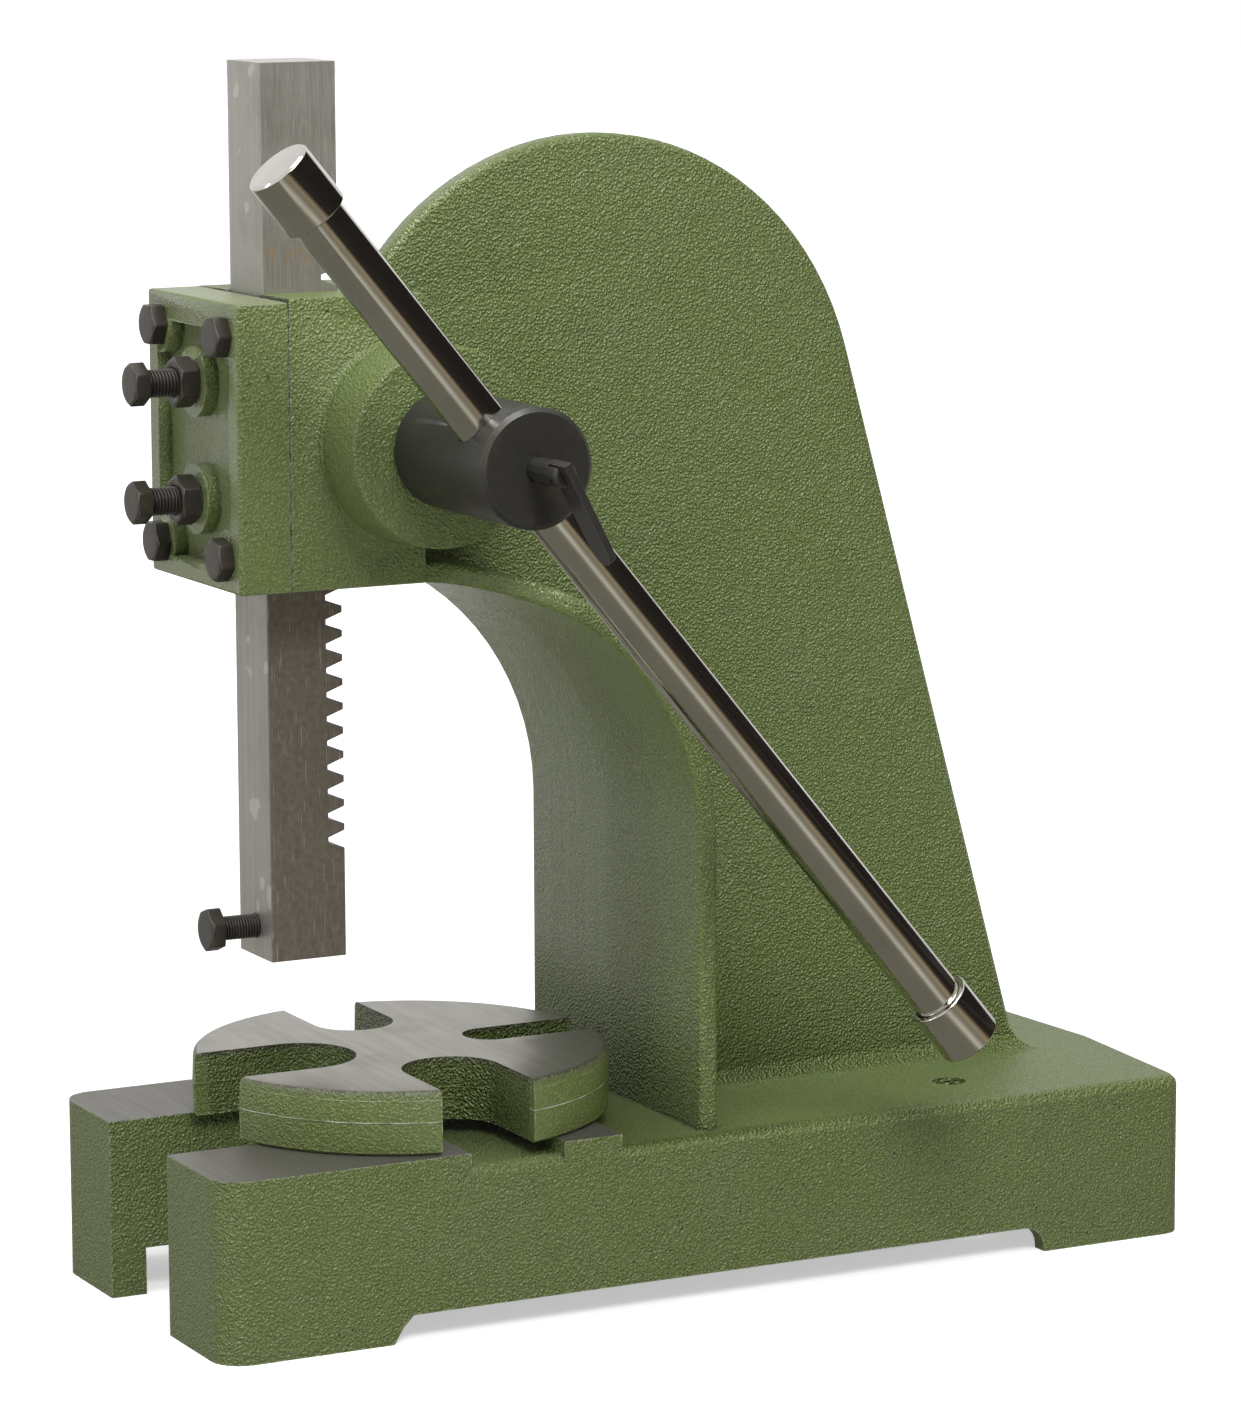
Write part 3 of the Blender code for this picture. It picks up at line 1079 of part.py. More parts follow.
def main():
    """Build every piece of the press."""
    clear_scene()
    paint, steel, black, bright = enamel(), bare_steel(), black_oxide(), chrome()
    root = add_place("press_point", (0, PRESS_POINT_Y, 0))
    make_frame(root, paint)
    make_cover(root, paint)
    make_cover_screws(root, black)
    make_gib(root, steel)
    make_ram(add_place("ram_slide", (0, 0, RAM_REST_HEIGHT), root), steel, black)
    pinion = add_place("pinion_axis", (0, PINION_Y, PINION_Z), root)
    make_gear(pinion, steel)
    make_shaft(pinion, black)
    make_retainer(pinion, black)
    make_lever(add_place("lever_slide", (LEVER_X, 0, 0), pinion), bright)
    make_clamp(add_place("clamp_axis", (0, 0, 0), pinion), black)
    make_anvil(add_place("anvil_axis", (0, ANVIL_Y, 0), root), root, steel, black)


main()
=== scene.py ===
"""Arbor press, dressed for the render: finishes, turned and threaded pieces, stage and camera.

Lengths are in metres. The operator stands before the -Y side, and the hub is on the +X side.
"""

import json
import math

import bmesh
import bpy
import numpy as np
from bpy.props import FloatProperty, FloatVectorProperty, PointerProperty
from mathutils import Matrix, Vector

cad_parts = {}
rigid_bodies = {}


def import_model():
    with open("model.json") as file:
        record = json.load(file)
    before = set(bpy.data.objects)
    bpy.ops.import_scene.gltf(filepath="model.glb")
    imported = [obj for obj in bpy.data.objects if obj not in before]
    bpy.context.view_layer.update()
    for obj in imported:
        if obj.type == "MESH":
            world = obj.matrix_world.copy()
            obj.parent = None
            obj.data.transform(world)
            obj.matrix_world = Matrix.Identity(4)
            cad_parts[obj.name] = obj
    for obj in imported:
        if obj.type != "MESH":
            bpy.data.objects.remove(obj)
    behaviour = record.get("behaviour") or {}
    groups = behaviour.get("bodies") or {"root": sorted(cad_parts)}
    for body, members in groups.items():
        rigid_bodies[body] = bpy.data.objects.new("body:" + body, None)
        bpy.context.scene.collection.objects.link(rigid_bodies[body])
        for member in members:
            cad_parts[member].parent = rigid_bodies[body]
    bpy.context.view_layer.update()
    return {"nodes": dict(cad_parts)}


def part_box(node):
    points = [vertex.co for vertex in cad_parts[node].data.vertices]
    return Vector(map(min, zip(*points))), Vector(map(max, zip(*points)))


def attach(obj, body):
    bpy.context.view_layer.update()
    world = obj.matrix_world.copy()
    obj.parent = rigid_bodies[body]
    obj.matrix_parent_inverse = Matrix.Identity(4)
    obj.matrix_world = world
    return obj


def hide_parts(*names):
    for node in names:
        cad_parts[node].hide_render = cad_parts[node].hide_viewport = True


bl_info = {
    "name": "Arbor press",
    "version": (1, 0, 0),
    "blender": (4, 5, 0),
    "location": "3D View > Sidebar > Press",
    "description": "Dresses the arbor press with its finishes, screws, lever and stage",
    "category": "Object",
}

for leftover in list(bpy.data.objects):
    bpy.data.objects.remove(leftover)
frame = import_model()
NODES = frame["nodes"]

# Places on the press

COVER_JOINT_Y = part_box("ram_cover")[1][1]
HEAD_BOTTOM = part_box("ram_cover")[0][2]
HEAD_REAR_Y = COVER_JOINT_Y + 0.05
WEB_FRONT_Y = COVER_JOINT_Y + 0.11
THROAT_FRONT_Y = COVER_JOINT_Y + 0.06
THROAT_FADE = (0.12, 0.16)
THROAT_BORDER_X = -0.006
PAD_TOP = 0.0912
PAD_REAR_Y = -0.3291
PAD_TOLERANCE = 0.0002
ANVIL_LOW, ANVIL_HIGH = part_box("anvil_plate")
ANVIL_TOP = ANVIL_HIGH[2]
ANVIL_RADIUS = (ANVIL_HIGH[0] - ANVIL_LOW[0]) / 2
ANVIL_MIDDLE = ((ANVIL_LOW[0] + ANVIL_HIGH[0]) / 2, (ANVIL_LOW[1] + ANVIL_HIGH[1]) / 2, ANVIL_TOP - 0.011)
RIM_LINE_HEIGHT = ANVIL_TOP - 0.0158
RIM_UPPER_LINE_HEIGHT = ANVIL_TOP - 0.0050
# Heights between which the ram's side faces take a painted dark reflection
PAINTED_REFLECTION_TOP = 0.47
PAINTED_REFLECTION_FULL = 0.36
SMEAR_HEIGHT = 0.527
LEVER_SLOPE = math.radians(50.4)
PRESS_MIDDLE = (0.0, -0.25, 0.0)

# Sizes of the new pieces. A screw's are half its width across flats, its head's height and its shank's radius

COVER_BOLT = (0.0095, 0.0075, 0.006)
GIB_SCREW = (0.0094, 0.0078, 0.007)
TOOL_SCREW = (0.0098, 0.0074, 0.0061)
NUT_HALF_FLATS = 0.011
NUT_BORE = 0.0072
NUT_CHAMFER = 0.0006
SCREW_TIP = 0.001
NECK_LENGTH = 0.0003
NECK_SHARE = 0.93
THREAD_END = 0.0004
THREAD_DEPTH = 0.65
THREAD_STEPS = 12
FACE_SHARE = 0.95
SOFT_EDGE = 0.985
HEAD_DIRECTION = np.array((0.0, -1.0, 0.0))
HEX_POWER = 48
HEX_SIDES = 96
ROUND_SIDES = 128
CURVE_STEPS = 4
LEVER_RADIUS = 0.0128
BAR_ROUNDING = 0.0006
CAP_RADIUS = 0.016
CAP_BORE = 0.0129
CAP_RIM = 0.0012
CAP_LIP = 0.0005
CAP_MOUTH = 0.0004
CAP_WALL = 0.005
CAP_ROUNDING = 0.0003

# Shades that are mixed into the finishes, as linear red, green, blue and alpha

PATCH_GREEN = (0.108, 0.152, 0.056, 1)
HAIRLINE_CRACK = (0.03, 0.03, 0.02, 1)
# Painted shade for the enamel's inner corners
CORNER_PAINTED_SHADE = (0.03, 0.04, 0.015, 1)
COVER_SEAM = (0.02, 0.025, 0.01, 1)
# Painted sheen on the cover's front face
COVER_FRONT_PAINTED_SHEEN = (0.185, 0.210, 0.115, 1)
# Painted sheen on the cover's top faces
COVER_TOP_PAINTED_SHEEN = (0.27, 0.27, 0.22, 1)
THROAT_PALE = (0.155, 0.182, 0.105, 1)
THROAT_LINE = (0.045, 0.055, 0.030, 1)
RIM_DUST = (0.085, 0.095, 0.050, 1)
RIM_CHIP = (0.05, 0.042, 0.03, 1)
RIM_LINE = (0.34, 0.37, 0.27, 1)
# Painted shade for the anvil's recessed slot walls
SLOT_WALL_PAINTED_SHADE = (0.05, 0.07, 0.015, 1)
MILLED_STAIN = (0.12, 0.10, 0.07, 1)
RAM_LINE = (0.16, 0.14, 0.11, 1)
# Painted dark reflection for the ram's lower side faces
RAM_PAINTED_REFLECTION = (0.118, 0.098, 0.072, 1)
RAM_SCRATCH = (0.55, 0.53, 0.48, 1)
RAM_SMEAR = (0.42, 0.26, 0.09, 1)
OXIDE_STAIN = (0.10, 0.065, 0.04, 1)
OXIDE_RUBBED = (0.30, 0.28, 0.25, 1)
# Painted shade for the black steel's corners and thread valleys
HOLLOW_PAINTED_SHADE = (0.008, 0.007, 0.006, 1)

# Marks to the metre along X, Y and Z, small along the way that the tool went

PAD_MARKS = (55.0, 900.0, 50.0)
ANVIL_MARKS = (60.0, 700.0, 60.0)
STEEL_MARKS = (900.0, 900.0, 25.0)
RAM_MARKS = (1100.0, 1100.0, 14.0)
RAM_STREAKS = (1500.0, 1500.0, 45.0)
THROAT_STREAKS = (260.0, 40.0, 9.0)

# A milled face's relief as a share of the enamel's

MILLED_RELIEF = 0.06

# The drum of plain colours that the chrome mirrors, and the camera's frame

MIRROR_CENTRE = (0.2, -0.25)
MIRROR_RADIUS = 3.5
MIRROR_LOW = -6.0
MIRROR_STEPS = 49
FLOOR_REACH = 12.0
SENSOR_SIZE = 36.0
CAMERA_SHIFT = (0.00187, -0.00985)


# Sizes and colours that a user may change


class PressColours(bpy.types.PropertyGroup):
    """Colours of the finishes, as linear red, green and blue."""

    enamel: FloatVectorProperty(name="Enamel", description="Green of the hammered enamel's bumps",
                                subtype="COLOR", size=3, min=0, max=1, default=(0.139, 0.173, 0.049))
    # The green between the bumps is darker: painted shade in the enamel's hollows
    enamel_hollow_shade: FloatVectorProperty(name="Enamel hollows", description="Green between the bumps",
                                    subtype="COLOR", size=3, min=0, max=1, default=(0.094, 0.125, 0.031))
    enamel_worn: FloatVectorProperty(name="Worn enamel", description="Pale green of rubbed edges",
                                     subtype="COLOR", size=3, min=0, max=1, default=(0.42, 0.45, 0.33))
    machined: FloatVectorProperty(name="Machined iron", description="Grey of the milled faces",
                                  subtype="COLOR", size=3, min=0, max=1, default=(0.34, 0.325, 0.285))
    pad: FloatVectorProperty(name="Milled pads", description="Darker grey of the pads on the base",
                             subtype="COLOR", size=3, min=0, max=1, default=(0.165, 0.158, 0.138))
    ram_steel: FloatVectorProperty(name="Ram steel", description="Grey of the ground ram",
                                   subtype="COLOR", size=3, min=0, max=1, default=(0.385, 0.370, 0.333))
    hub_black: FloatVectorProperty(name="Hub black", description="Black oxide of the hub and clamp",
                                   subtype="COLOR", size=3, min=0, max=1, default=(0.026, 0.025, 0.022))
    screw_black: FloatVectorProperty(name="Screw black", description="Brown-black of the hex screws",
                                     subtype="COLOR", size=3, min=0, max=1, default=(0.031, 0.027, 0.022))
    chrome: FloatVectorProperty(name="Chrome", description="Reflecting colour of the lever's plating",
                                subtype="COLOR", size=3, min=0, max=1, default=(0.60, 0.58, 0.53))
    floor: FloatVectorProperty(name="Floor", description="Plain pale floor", subtype="COLOR",
                               size=3, min=0, max=1, default=(0.80, 0.80, 0.80))


class PressFinish(bpy.types.PropertyGroup):
    """Sizes of the surface texture and of the small turned details."""

    pebble: FloatProperty(name="Pebble", description="Width of one bump of the hammered enamel",
                          subtype="DISTANCE", unit="LENGTH", default=0.0014)
    pebble_height: FloatProperty(name="Pebble height", description="Height of the enamel's bumps",
                                 subtype="DISTANCE", unit="LENGTH", default=0.0021)
    worn_width: FloatProperty(name="Worn width", description="How far the wear reaches in from an edge",
                              subtype="DISTANCE", unit="LENGTH", default=0.0016)
    gib_pitch: FloatProperty(name="Gib screw pitch", description="Thread pitch of the gib screws",
                             subtype="DISTANCE", unit="LENGTH", default=0.00175)
    tool_pitch: FloatProperty(name="Tool screw pitch", description="Thread pitch of the tool set screw",
                              subtype="DISTANCE", unit="LENGTH", default=0.0015)


class PressStage(bpy.types.PropertyGroup):
    """Camera and light."""

    camera_place: FloatVectorProperty(name="Camera place", description="Where the camera stands",
                                      subtype="TRANSLATION", size=3, default=(2.43096, -1.52069, 0.73681))
    camera_turn: FloatVectorProperty(name="Camera turn", description="How the camera is turned",
                                     subtype="EULER", size=3,
                                     default=[math.radians(turn) for turn in (80.7714, 0.2497, 62.8567)])
    focal_length: FloatProperty(name="Lens", description="Focal length of the lens in millimetres",
                                default=137.347)
    surround: FloatProperty(name="Surround", description="Strength of the even light all round",
                            default=0.33)
    overhead: FloatProperty(name="Overhead lamp", description="Power of the soft lamp overhead",
                            unit="POWER", default=38.0)
    front: FloatProperty(name="Front lamp", description="Power of the small soft lamp in front",
                         unit="POWER", default=6.0)
    side: FloatProperty(name="Side lamp", description="Power of the soft lamp beside the camera",
                        unit="POWER", default=56.0)


# Shader nodes


def node(tree, kind, values=None, **settings):
    """Add a shader node; values fills its inputs with numbers, colours or other nodes' outputs."""
    made = tree.nodes.new(kind)
    for name, value in settings.items():
        setattr(made, name, value)
    for name, value in (values or {}).items():
        if isinstance(value, bpy.types.NodeSocket):
            tree.links.new(value, made.inputs[name])
        else:
            made.inputs[name].default_value = value
    return made


def calc(tree, operation, first, second=0.0):
    """One Math node's output."""
    return node(tree, "ShaderNodeMath", {0: first, 1: second}, operation=operation).outputs[0]


def product(tree, *factors):
    """Product of two or more values."""
    total = factors[0]
    for factor in factors[1:]:
        total = calc(tree, "MULTIPLY", total, factor)
    return total


def gap(tree, first, second):
    """How far two values lie apart."""
    return calc(tree, "ABSOLUTE", calc(tree, "SUBTRACT", first, second))


def blend_colour(tree, share, low, high):
    """Colour between low and high."""
    return node(tree, "ShaderNodeMix", {0: share, 6: low, 7: high}, data_type="RGBA").outputs[2]


def blend_value(tree, share, low, high):
    """Value between low and high."""
    return node(tree, "ShaderNodeMix", {0: share, 2: low, 3: high}, data_type="FLOAT").outputs[0]


def ramp(tree, value, low, high, start=0.0, end=1.0):
    """Value carried from low..high to start..end, smoothly, and held there."""
    return node(tree, "ShaderNodeMapRange", {"Value": value, "From Min": low, "From Max": high,
                "To Min": start, "To Max": end}, interpolation_type="SMOOTHSTEP").outputs[0]


def noise(tree, place, scale, detail=2.0, roughness=0.5):
    """Noise between 0 and 1."""
    return node(tree, "ShaderNodeTexNoise", {"Vector": place, "Scale": scale, "Detail": detail,
                "Roughness": roughness}).outputs[0]


def distance(tree, place, centre):
    """Distance from a point."""
    return node(tree, "ShaderNodeVectorMath", {0: place, 1: centre}, operation="DISTANCE").outputs["Value"]


def stretched(tree, place, marks):
    """Place with each axis multiplied, so that a pattern on it has so many marks to the metre."""
    return node(tree, "ShaderNodeVectorMath", {0: place, 1: marks}, operation="MULTIPLY").outputs[0]


def full(colour, gain=1.0):
    """Colour times a gain, with its alpha."""
    return tuple(gain * share for share in colour) + (1.0,)


def new_group(name, inputs, outputs):
    """Empty node group with named sockets: (name, kind, default) inward, (name, kind) outward."""
    group = bpy.data.node_groups.new(name, "ShaderNodeTree")
    for title, kind, value in inputs:
        socket = group.interface.new_socket(name=title, in_out="INPUT", socket_type="NodeSocket" + kind)
        if value is not None:
            socket.default_value = value
    for title, kind in outputs:
        group.interface.new_socket(name=title, in_out="OUTPUT", socket_type="NodeSocket" + kind)
    start = group.nodes.new("NodeGroupInput")
    finish = group.nodes.new("NodeGroupOutput")
    return group, start.outputs, finish.inputs


def hammered_group():
    """Hammered enamel: bumps of one width, broad patches, hairline cracks and dark specks."""
    group, given, result = new_group(
        "hammered_enamel", [("Place", "Vector", None), ("Width", "Float", 0.0014)],
        [("Height", "Float"), ("Hollow", "Float"), ("Patch", "Float"), ("Crack", "Float")])
    place = given["Place"]
    scale = calc(group, "DIVIDE", 1.0, given["Width"])
    cells = node(group, "ShaderNodeTexVoronoi", {"Vector": place, "Scale": scale, "Smoothness": 0.6},
                 feature="SMOOTH_F1").outputs["Distance"]
    dome = ramp(group, cells, 0.75, 0.0)
    bumps = noise(group, place, product(group, scale, 1.1), 1.0, 0.4)
    broad = noise(group, place, product(group, scale, 0.4), 2.0, 0.5)
    high = blend_value(group, 0.65, bumps, dome)
    group.links.new(blend_value(group, 0.25, high, broad), result["Height"])
    group.links.new(ramp(group, high, 0.74, 0.26), result["Hollow"])
    patch = noise(group, place, 14.0, 3.0, 0.6)
    group.links.new(ramp(group, patch, 0.35, 0.65), result["Patch"])
    wander = noise(group, place, 120.0, 4.0, 0.7)
    thin = ramp(group, gap(group, wander, 0.5), 0.008, 0.0)
    sparse = ramp(group, noise(group, place, 31.0, 2.0, 0.5), 0.60, 0.66)
    cracks = product(group, thin, sparse)
    specks = product(group, ramp(group, noise(group, place, 620.0, 0.0), 0.78, 0.81),
                     ramp(group, noise(group, place, 9.0, 1.0), 0.52, 0.60))
    group.links.new(calc(group, "MAXIMUM", cracks, specks), result["Crack"])
    return group


def edge_group():
    """Edges from the shape alone: outer edges that rub bare, and inner corners for painted shade."""
    group, given, result = new_group("edges", [("Reach", "Float", 0.0007)],
                                     [("Outer", "Float"), ("Inner", "Float")])
    rounded = node(group, "ShaderNodeBevel", {"Radius": given["Reach"]}, samples=6)
    facing = node(group, "ShaderNodeNewGeometry")
    agree = node(group, "ShaderNodeVectorMath", {0: rounded.outputs[0], 1: facing.outputs["Normal"]},
                 operation="DOT_PRODUCT")
    edge = ramp(group, agree.outputs["Value"], 0.99, 0.86)
    shade = node(group, "ShaderNodeAmbientOcclusion", {"Distance": 0.004}, samples=6, only_local=True)
    open_share = ramp(group, shade.outputs["AO"], 0.55, 0.95)
    group.links.new(product(group, edge, open_share), result["Outer"])
    group.links.new(calc(group, "SUBTRACT", 1.0, open_share), result["Inner"])
    return group


def grain_group():
    """Machining marks: fine lines along one direction, set by the marks to the metre on each axis."""
    group, given, result = new_group("machining_grain",
                                     [("Place", "Vector", None), ("Stretch", "Vector", None)],
                                     [("Height", "Float"), ("Streak", "Float"), ("Stain", "Float")])
    drawn_out = stretched(group, given["Place"], given["Stretch"])
    streak = noise(group, drawn_out, 0.23, 2.0, 0.6)
    stain = noise(group, given["Place"], 22.0, 4.0, 0.62)
    group.links.new(noise(group, drawn_out, 1.0, 3.0, 0.6), result["Height"])
    group.links.new(ramp(group, streak, 0.3, 0.7), result["Streak"])
    group.links.new(ramp(group, stain, 0.5, 0.72), result["Stain"])
    return group


GROUPS = {}


def use_group(tree, name, values):
    """Outputs of a shared group, which is built when it is first used."""
    makers = {"hammered": hammered_group, "edges": edge_group, "grain": grain_group}
    if name not in GROUPS:
        GROUPS[name] = makers[name]()
    return node(tree, "ShaderNodeGroup", values, node_tree=GROUPS[name]).outputs


def new_material(name):
    """Material with its Principled shader and the piece's Object coordinates."""
    material = bpy.data.materials.new(name)
    material.use_nodes = True
    tree = material.node_tree
    shader = tree.nodes["Principled BSDF"]
    place = node(tree, "ShaderNodeTexCoord").outputs["Object"]
    return material, tree, shader, place


def split(tree, vector):
    """The X, Y and Z outputs of a vector."""
    return node(tree, "ShaderNodeSeparateXYZ", {0: vector}).outputs


def normal_parts(tree):
    """X, Y and Z of the surface's normal, each from -1 to 1."""
    return split(tree, node(tree, "ShaderNodeNewGeometry").outputs["Normal"])


def enamel_parts(tree, place, colours, finish):
    """Colour, roughness and height of the hammered green enamel, with the joint line at the cover, painted
    shade in the hollows between the bumps and painted shade in the inner corners.
    """
    bumps = use_group(tree, "hammered", {"Place": place, "Width": finish.pebble})
    edges = use_group(tree, "edges", {"Reach": finish.worn_width})
    along, high = split(tree, place)[1:3]
    # Darker green in the hollows between bumps: painted shade
    green = blend_colour(tree, bumps["Hollow"], full(colours.enamel), full(colours.enamel_hollow_shade))
    shaded = blend_colour(tree, product(tree, bumps["Patch"], 0.3), green, PATCH_GREEN)
    cracked = blend_colour(tree, product(tree, bumps["Crack"], 0.8), shaded, HAIRLINE_CRACK)
    # Painted shade in inner corners, where the ambient occlusion is low
    corner_shaded = blend_colour(tree, product(tree, edges["Inner"], 0.45), cracked, CORNER_PAINTED_SHADE)
    on_head = calc(tree, "GREATER_THAN", high, HEAD_BOTTOM - 0.002)
    seam = product(tree, ramp(tree, gap(tree, along, COVER_JOINT_Y), 0.0008, 0.0003, end=0.85), on_head)
    jointed = blend_colour(tree, seam, corner_shaded, COVER_SEAM)
    rubbed = product(tree, edges["Outer"], ramp(tree, noise(tree, place, 160.0, 3.0), 0.30, 0.60), 0.45)
    colour = blend_colour(tree, rubbed, jointed, full(colours.enamel_worn))
    roughness = blend_value(tree, bumps["Hollow"], 0.33, 0.45)
    calmer_head = ramp(tree, along, HEAD_REAR_Y, WEB_FRONT_Y, start=0.60)
    relief = product(tree, bumps["Height"], blend_value(tree, on_head, 1.0, calmer_head))
    return colour, roughness, relief


def machined_parts(tree, place, colour, marks):
    """Colour, roughness and height of a milled or ground face."""
    grain = use_group(tree, "grain", {"Place": place, "Stretch": marks})
    lined = blend_colour(tree, grain["Streak"], full(colour, 0.90), full(colour))
    stained = blend_colour(tree, product(tree, grain["Stain"], 0.25), lined, MILLED_STAIN)
    roughness = blend_value(tree, grain["Streak"], 0.42, 0.37)
    return stained, roughness, grain["Height"]


def finish_shader(tree, shader, parts, metal, bump_height, strength=1.0):
    """Wire colour, roughness, metal share and bump into a Principled shader."""
    colour, roughness, height = parts
    bump = node(tree, "ShaderNodeBump", {"Height": height, "Distance": bump_height, "Strength": strength})
    tree.links.new(colour, shader.inputs["Base Color"])
    tree.links.new(roughness, shader.inputs["Roughness"])
    tree.links.new(bump.outputs[0], shader.inputs["Normal"])
    if isinstance(metal, bpy.types.NodeSocket):
        tree.links.new(metal, shader.inputs["Metallic"])
    else:
        shader.inputs["Metallic"].default_value = metal


def mixed_parts(tree, share, painted, milled):
    """Colour, roughness and height blended from a painted to a milled finish."""
    relief = product(tree, milled[2], MILLED_RELIEF)
    return (blend_colour(tree, share, painted[0], milled[0]),
            blend_value(tree, share, painted[1], milled[1]),
            blend_value(tree, share, painted[2], relief))


def make_casting_enamel(colours, finish):
    """Green enamel on the casting: two pads on the base milled bare, and a pale streaked throat."""
    material, tree, shader, place = new_material("green_enamel_casting")
    across, along, high = split(tree, place)
    at_pad_top = calc(tree, "COMPARE", high, PAD_TOP)
    at_pad_top.node.inputs[2].default_value = PAD_TOLERANCE
    before = calc(tree, "LESS_THAN", along, PAD_REAR_Y)
    flat = calc(tree, "GREATER_THAN", normal_parts(tree)[2], 0.9)
    bare = product(tree, at_pad_top, before, flat)
    colour, roughness, height = enamel_parts(tree, place, colours, finish)
    throat = product(tree, ramp(tree, normal_parts(tree)[1], -0.2, -0.5), ramp(tree, high, *THROAT_FADE),
                     calc(tree, "GREATER_THAN", along, THROAT_FRONT_Y))
    streak = noise(tree, stretched(tree, place, THROAT_STREAKS), 1.0, 3.0, 0.6)
    far_half = ramp(tree, calc(tree, "ADD", across, product(tree, streak, 0.010)), 0.002, -0.008)
    pale = product(tree, ramp(tree, streak, 0.30, 0.66, start=0.15, end=0.65), throat,
                   blend_value(tree, far_half, 0.15, 1.0))
    streaked = blend_colour(tree, pale, colour, THROAT_PALE)
    border = ramp(tree, gap(tree, across, THROAT_BORDER_X), 0.006, 0.001, start=0.15)
    broken = ramp(tree, noise(tree, place, 75.0, 2.0), 0.50, 0.60)
    line = product(tree, ramp(tree, streak, 0.38, 0.33, end=0.75), product(tree, throat, border), broken)
    streaked = blend_colour(tree, line, streaked, THROAT_LINE)
    calmed = product(tree, height, blend_value(tree, throat, 1.0, 0.35))
    painted = (streaked, blend_value(tree, throat, roughness, 0.15), calmed)
    colour, roughness, height = machined_parts(tree, place, colours.pad, PAD_MARKS)
    milled = (colour, calc(tree, "ADD", roughness, 0.08), height)
    metal = product(tree, bare, 0.75)
    finish_shader(tree, shader, mixed_parts(tree, bare, painted, milled), metal, finish.pebble_height)
    return material


def make_cover_enamel(colours, finish):
    """Green enamel of the cover, paler on its front face and on top as painted sheen, and calmer there."""
    material, tree, shader, place = new_material("green_enamel_cover")
    colour, roughness, height = enamel_parts(tree, place, colours, finish)
    front = ramp(tree, normal_parts(tree)[1], -0.75, -0.95)
    top = ramp(tree, normal_parts(tree)[2], 0.8, 0.95)
    # Paler front face: painted sheen
    sheen_painted = blend_colour(tree, product(tree, front, 0.45), colour, COVER_FRONT_PAINTED_SHEEN)
    # Paler top faces: painted sheen
    sheen_painted = blend_colour(tree, product(tree, top, 0.35), sheen_painted, COVER_TOP_PAINTED_SHEEN)
    smoother = blend_value(tree, front, roughness, 0.16)
    calmer = product(tree, height, blend_value(tree, calc(tree, "MAXIMUM", front, top), 0.75, 0.35))
    finish_shader(tree, shader, (sheen_painted, smoother, calmer), 0.0, finish.pebble_height)
    return material


def make_anvil_finish(colours, finish):
    """Milled top face and chipped rounding on the anvil plate, green enamel on rim and slot walls, with
    painted shade on the slot walls.
    """
    material, tree, shader, place = new_material("anvil_finish")
    high = split(tree, place)[2]
    flat = calc(tree, "GREATER_THAN", normal_parts(tree)[2], 0.9)
    bare = product(tree, flat, calc(tree, "GREATER_THAN", high, ANVIL_TOP - 0.0004))
    colour, roughness, height = enamel_parts(tree, place, colours, finish)
    band = ramp(tree, high, ANVIL_TOP - 0.0045, ANVIL_TOP - 0.0015, end=0.7)
    dusty = blend_colour(tree, band, colour, RIM_DUST)
    chips = product(tree, ramp(tree, high, ANVIL_TOP - 0.0016, ANVIL_TOP - 0.0006, end=0.9),
                    ramp(tree, noise(tree, place, 240.0, 3.0), 0.45, 0.55))
    chipped = blend_colour(tree, chips, dusty, RIM_CHIP)
    on_rim = calc(tree, "GREATER_THAN", distance(tree, place, ANVIL_MIDDLE), ANVIL_RADIUS - 0.003)
    line = ramp(tree, gap(tree, high, RIM_LINE_HEIGHT), 0.0006, 0.0001)
    upper_line = ramp(tree, gap(tree, high, RIM_UPPER_LINE_HEIGHT), 0.0005, 0.0001, end=0.35)
    lines = calc(tree, "MAXIMUM", line, upper_line)
    broken = product(tree, ramp(tree, noise(tree, place, 90.0, 3.0), 0.35, 0.6), on_rim)
    parted = blend_colour(tree, product(tree, lines, broken), chipped, RIM_LINE)
    # Darker slot walls away from the rim: painted shade
    slot_painted_shade = product(tree, calc(tree, "SUBTRACT", 1.0, on_rim), 0.25)
    relief = product(tree, height, blend_value(tree, on_rim, 1.3, 0.4))
    painted = (blend_colour(tree, slot_painted_shade, parted, SLOT_WALL_PAINTED_SHADE), blend_value(tree, on_rim, 0.22, roughness),
               calc(tree, "ADD", relief, product(tree, lines, 0.25)))
    milled = machined_parts(tree, place, colours.machined, ANVIL_MARKS)
    finish_shader(tree, shader, mixed_parts(tree, bare, painted, milled), bare, finish.pebble_height)
    return material


def make_plain_steel(colours):
    """Ground steel with fine upright lines, for the pieces inside the head."""
    material, tree, shader, place = new_material("plain_steel")
    parts = machined_parts(tree, place, colours.ram_steel, STEEL_MARKS)
    finish_shader(tree, shader, parts, metal=0.7, bump_height=0.00002, strength=0.5)
    return material


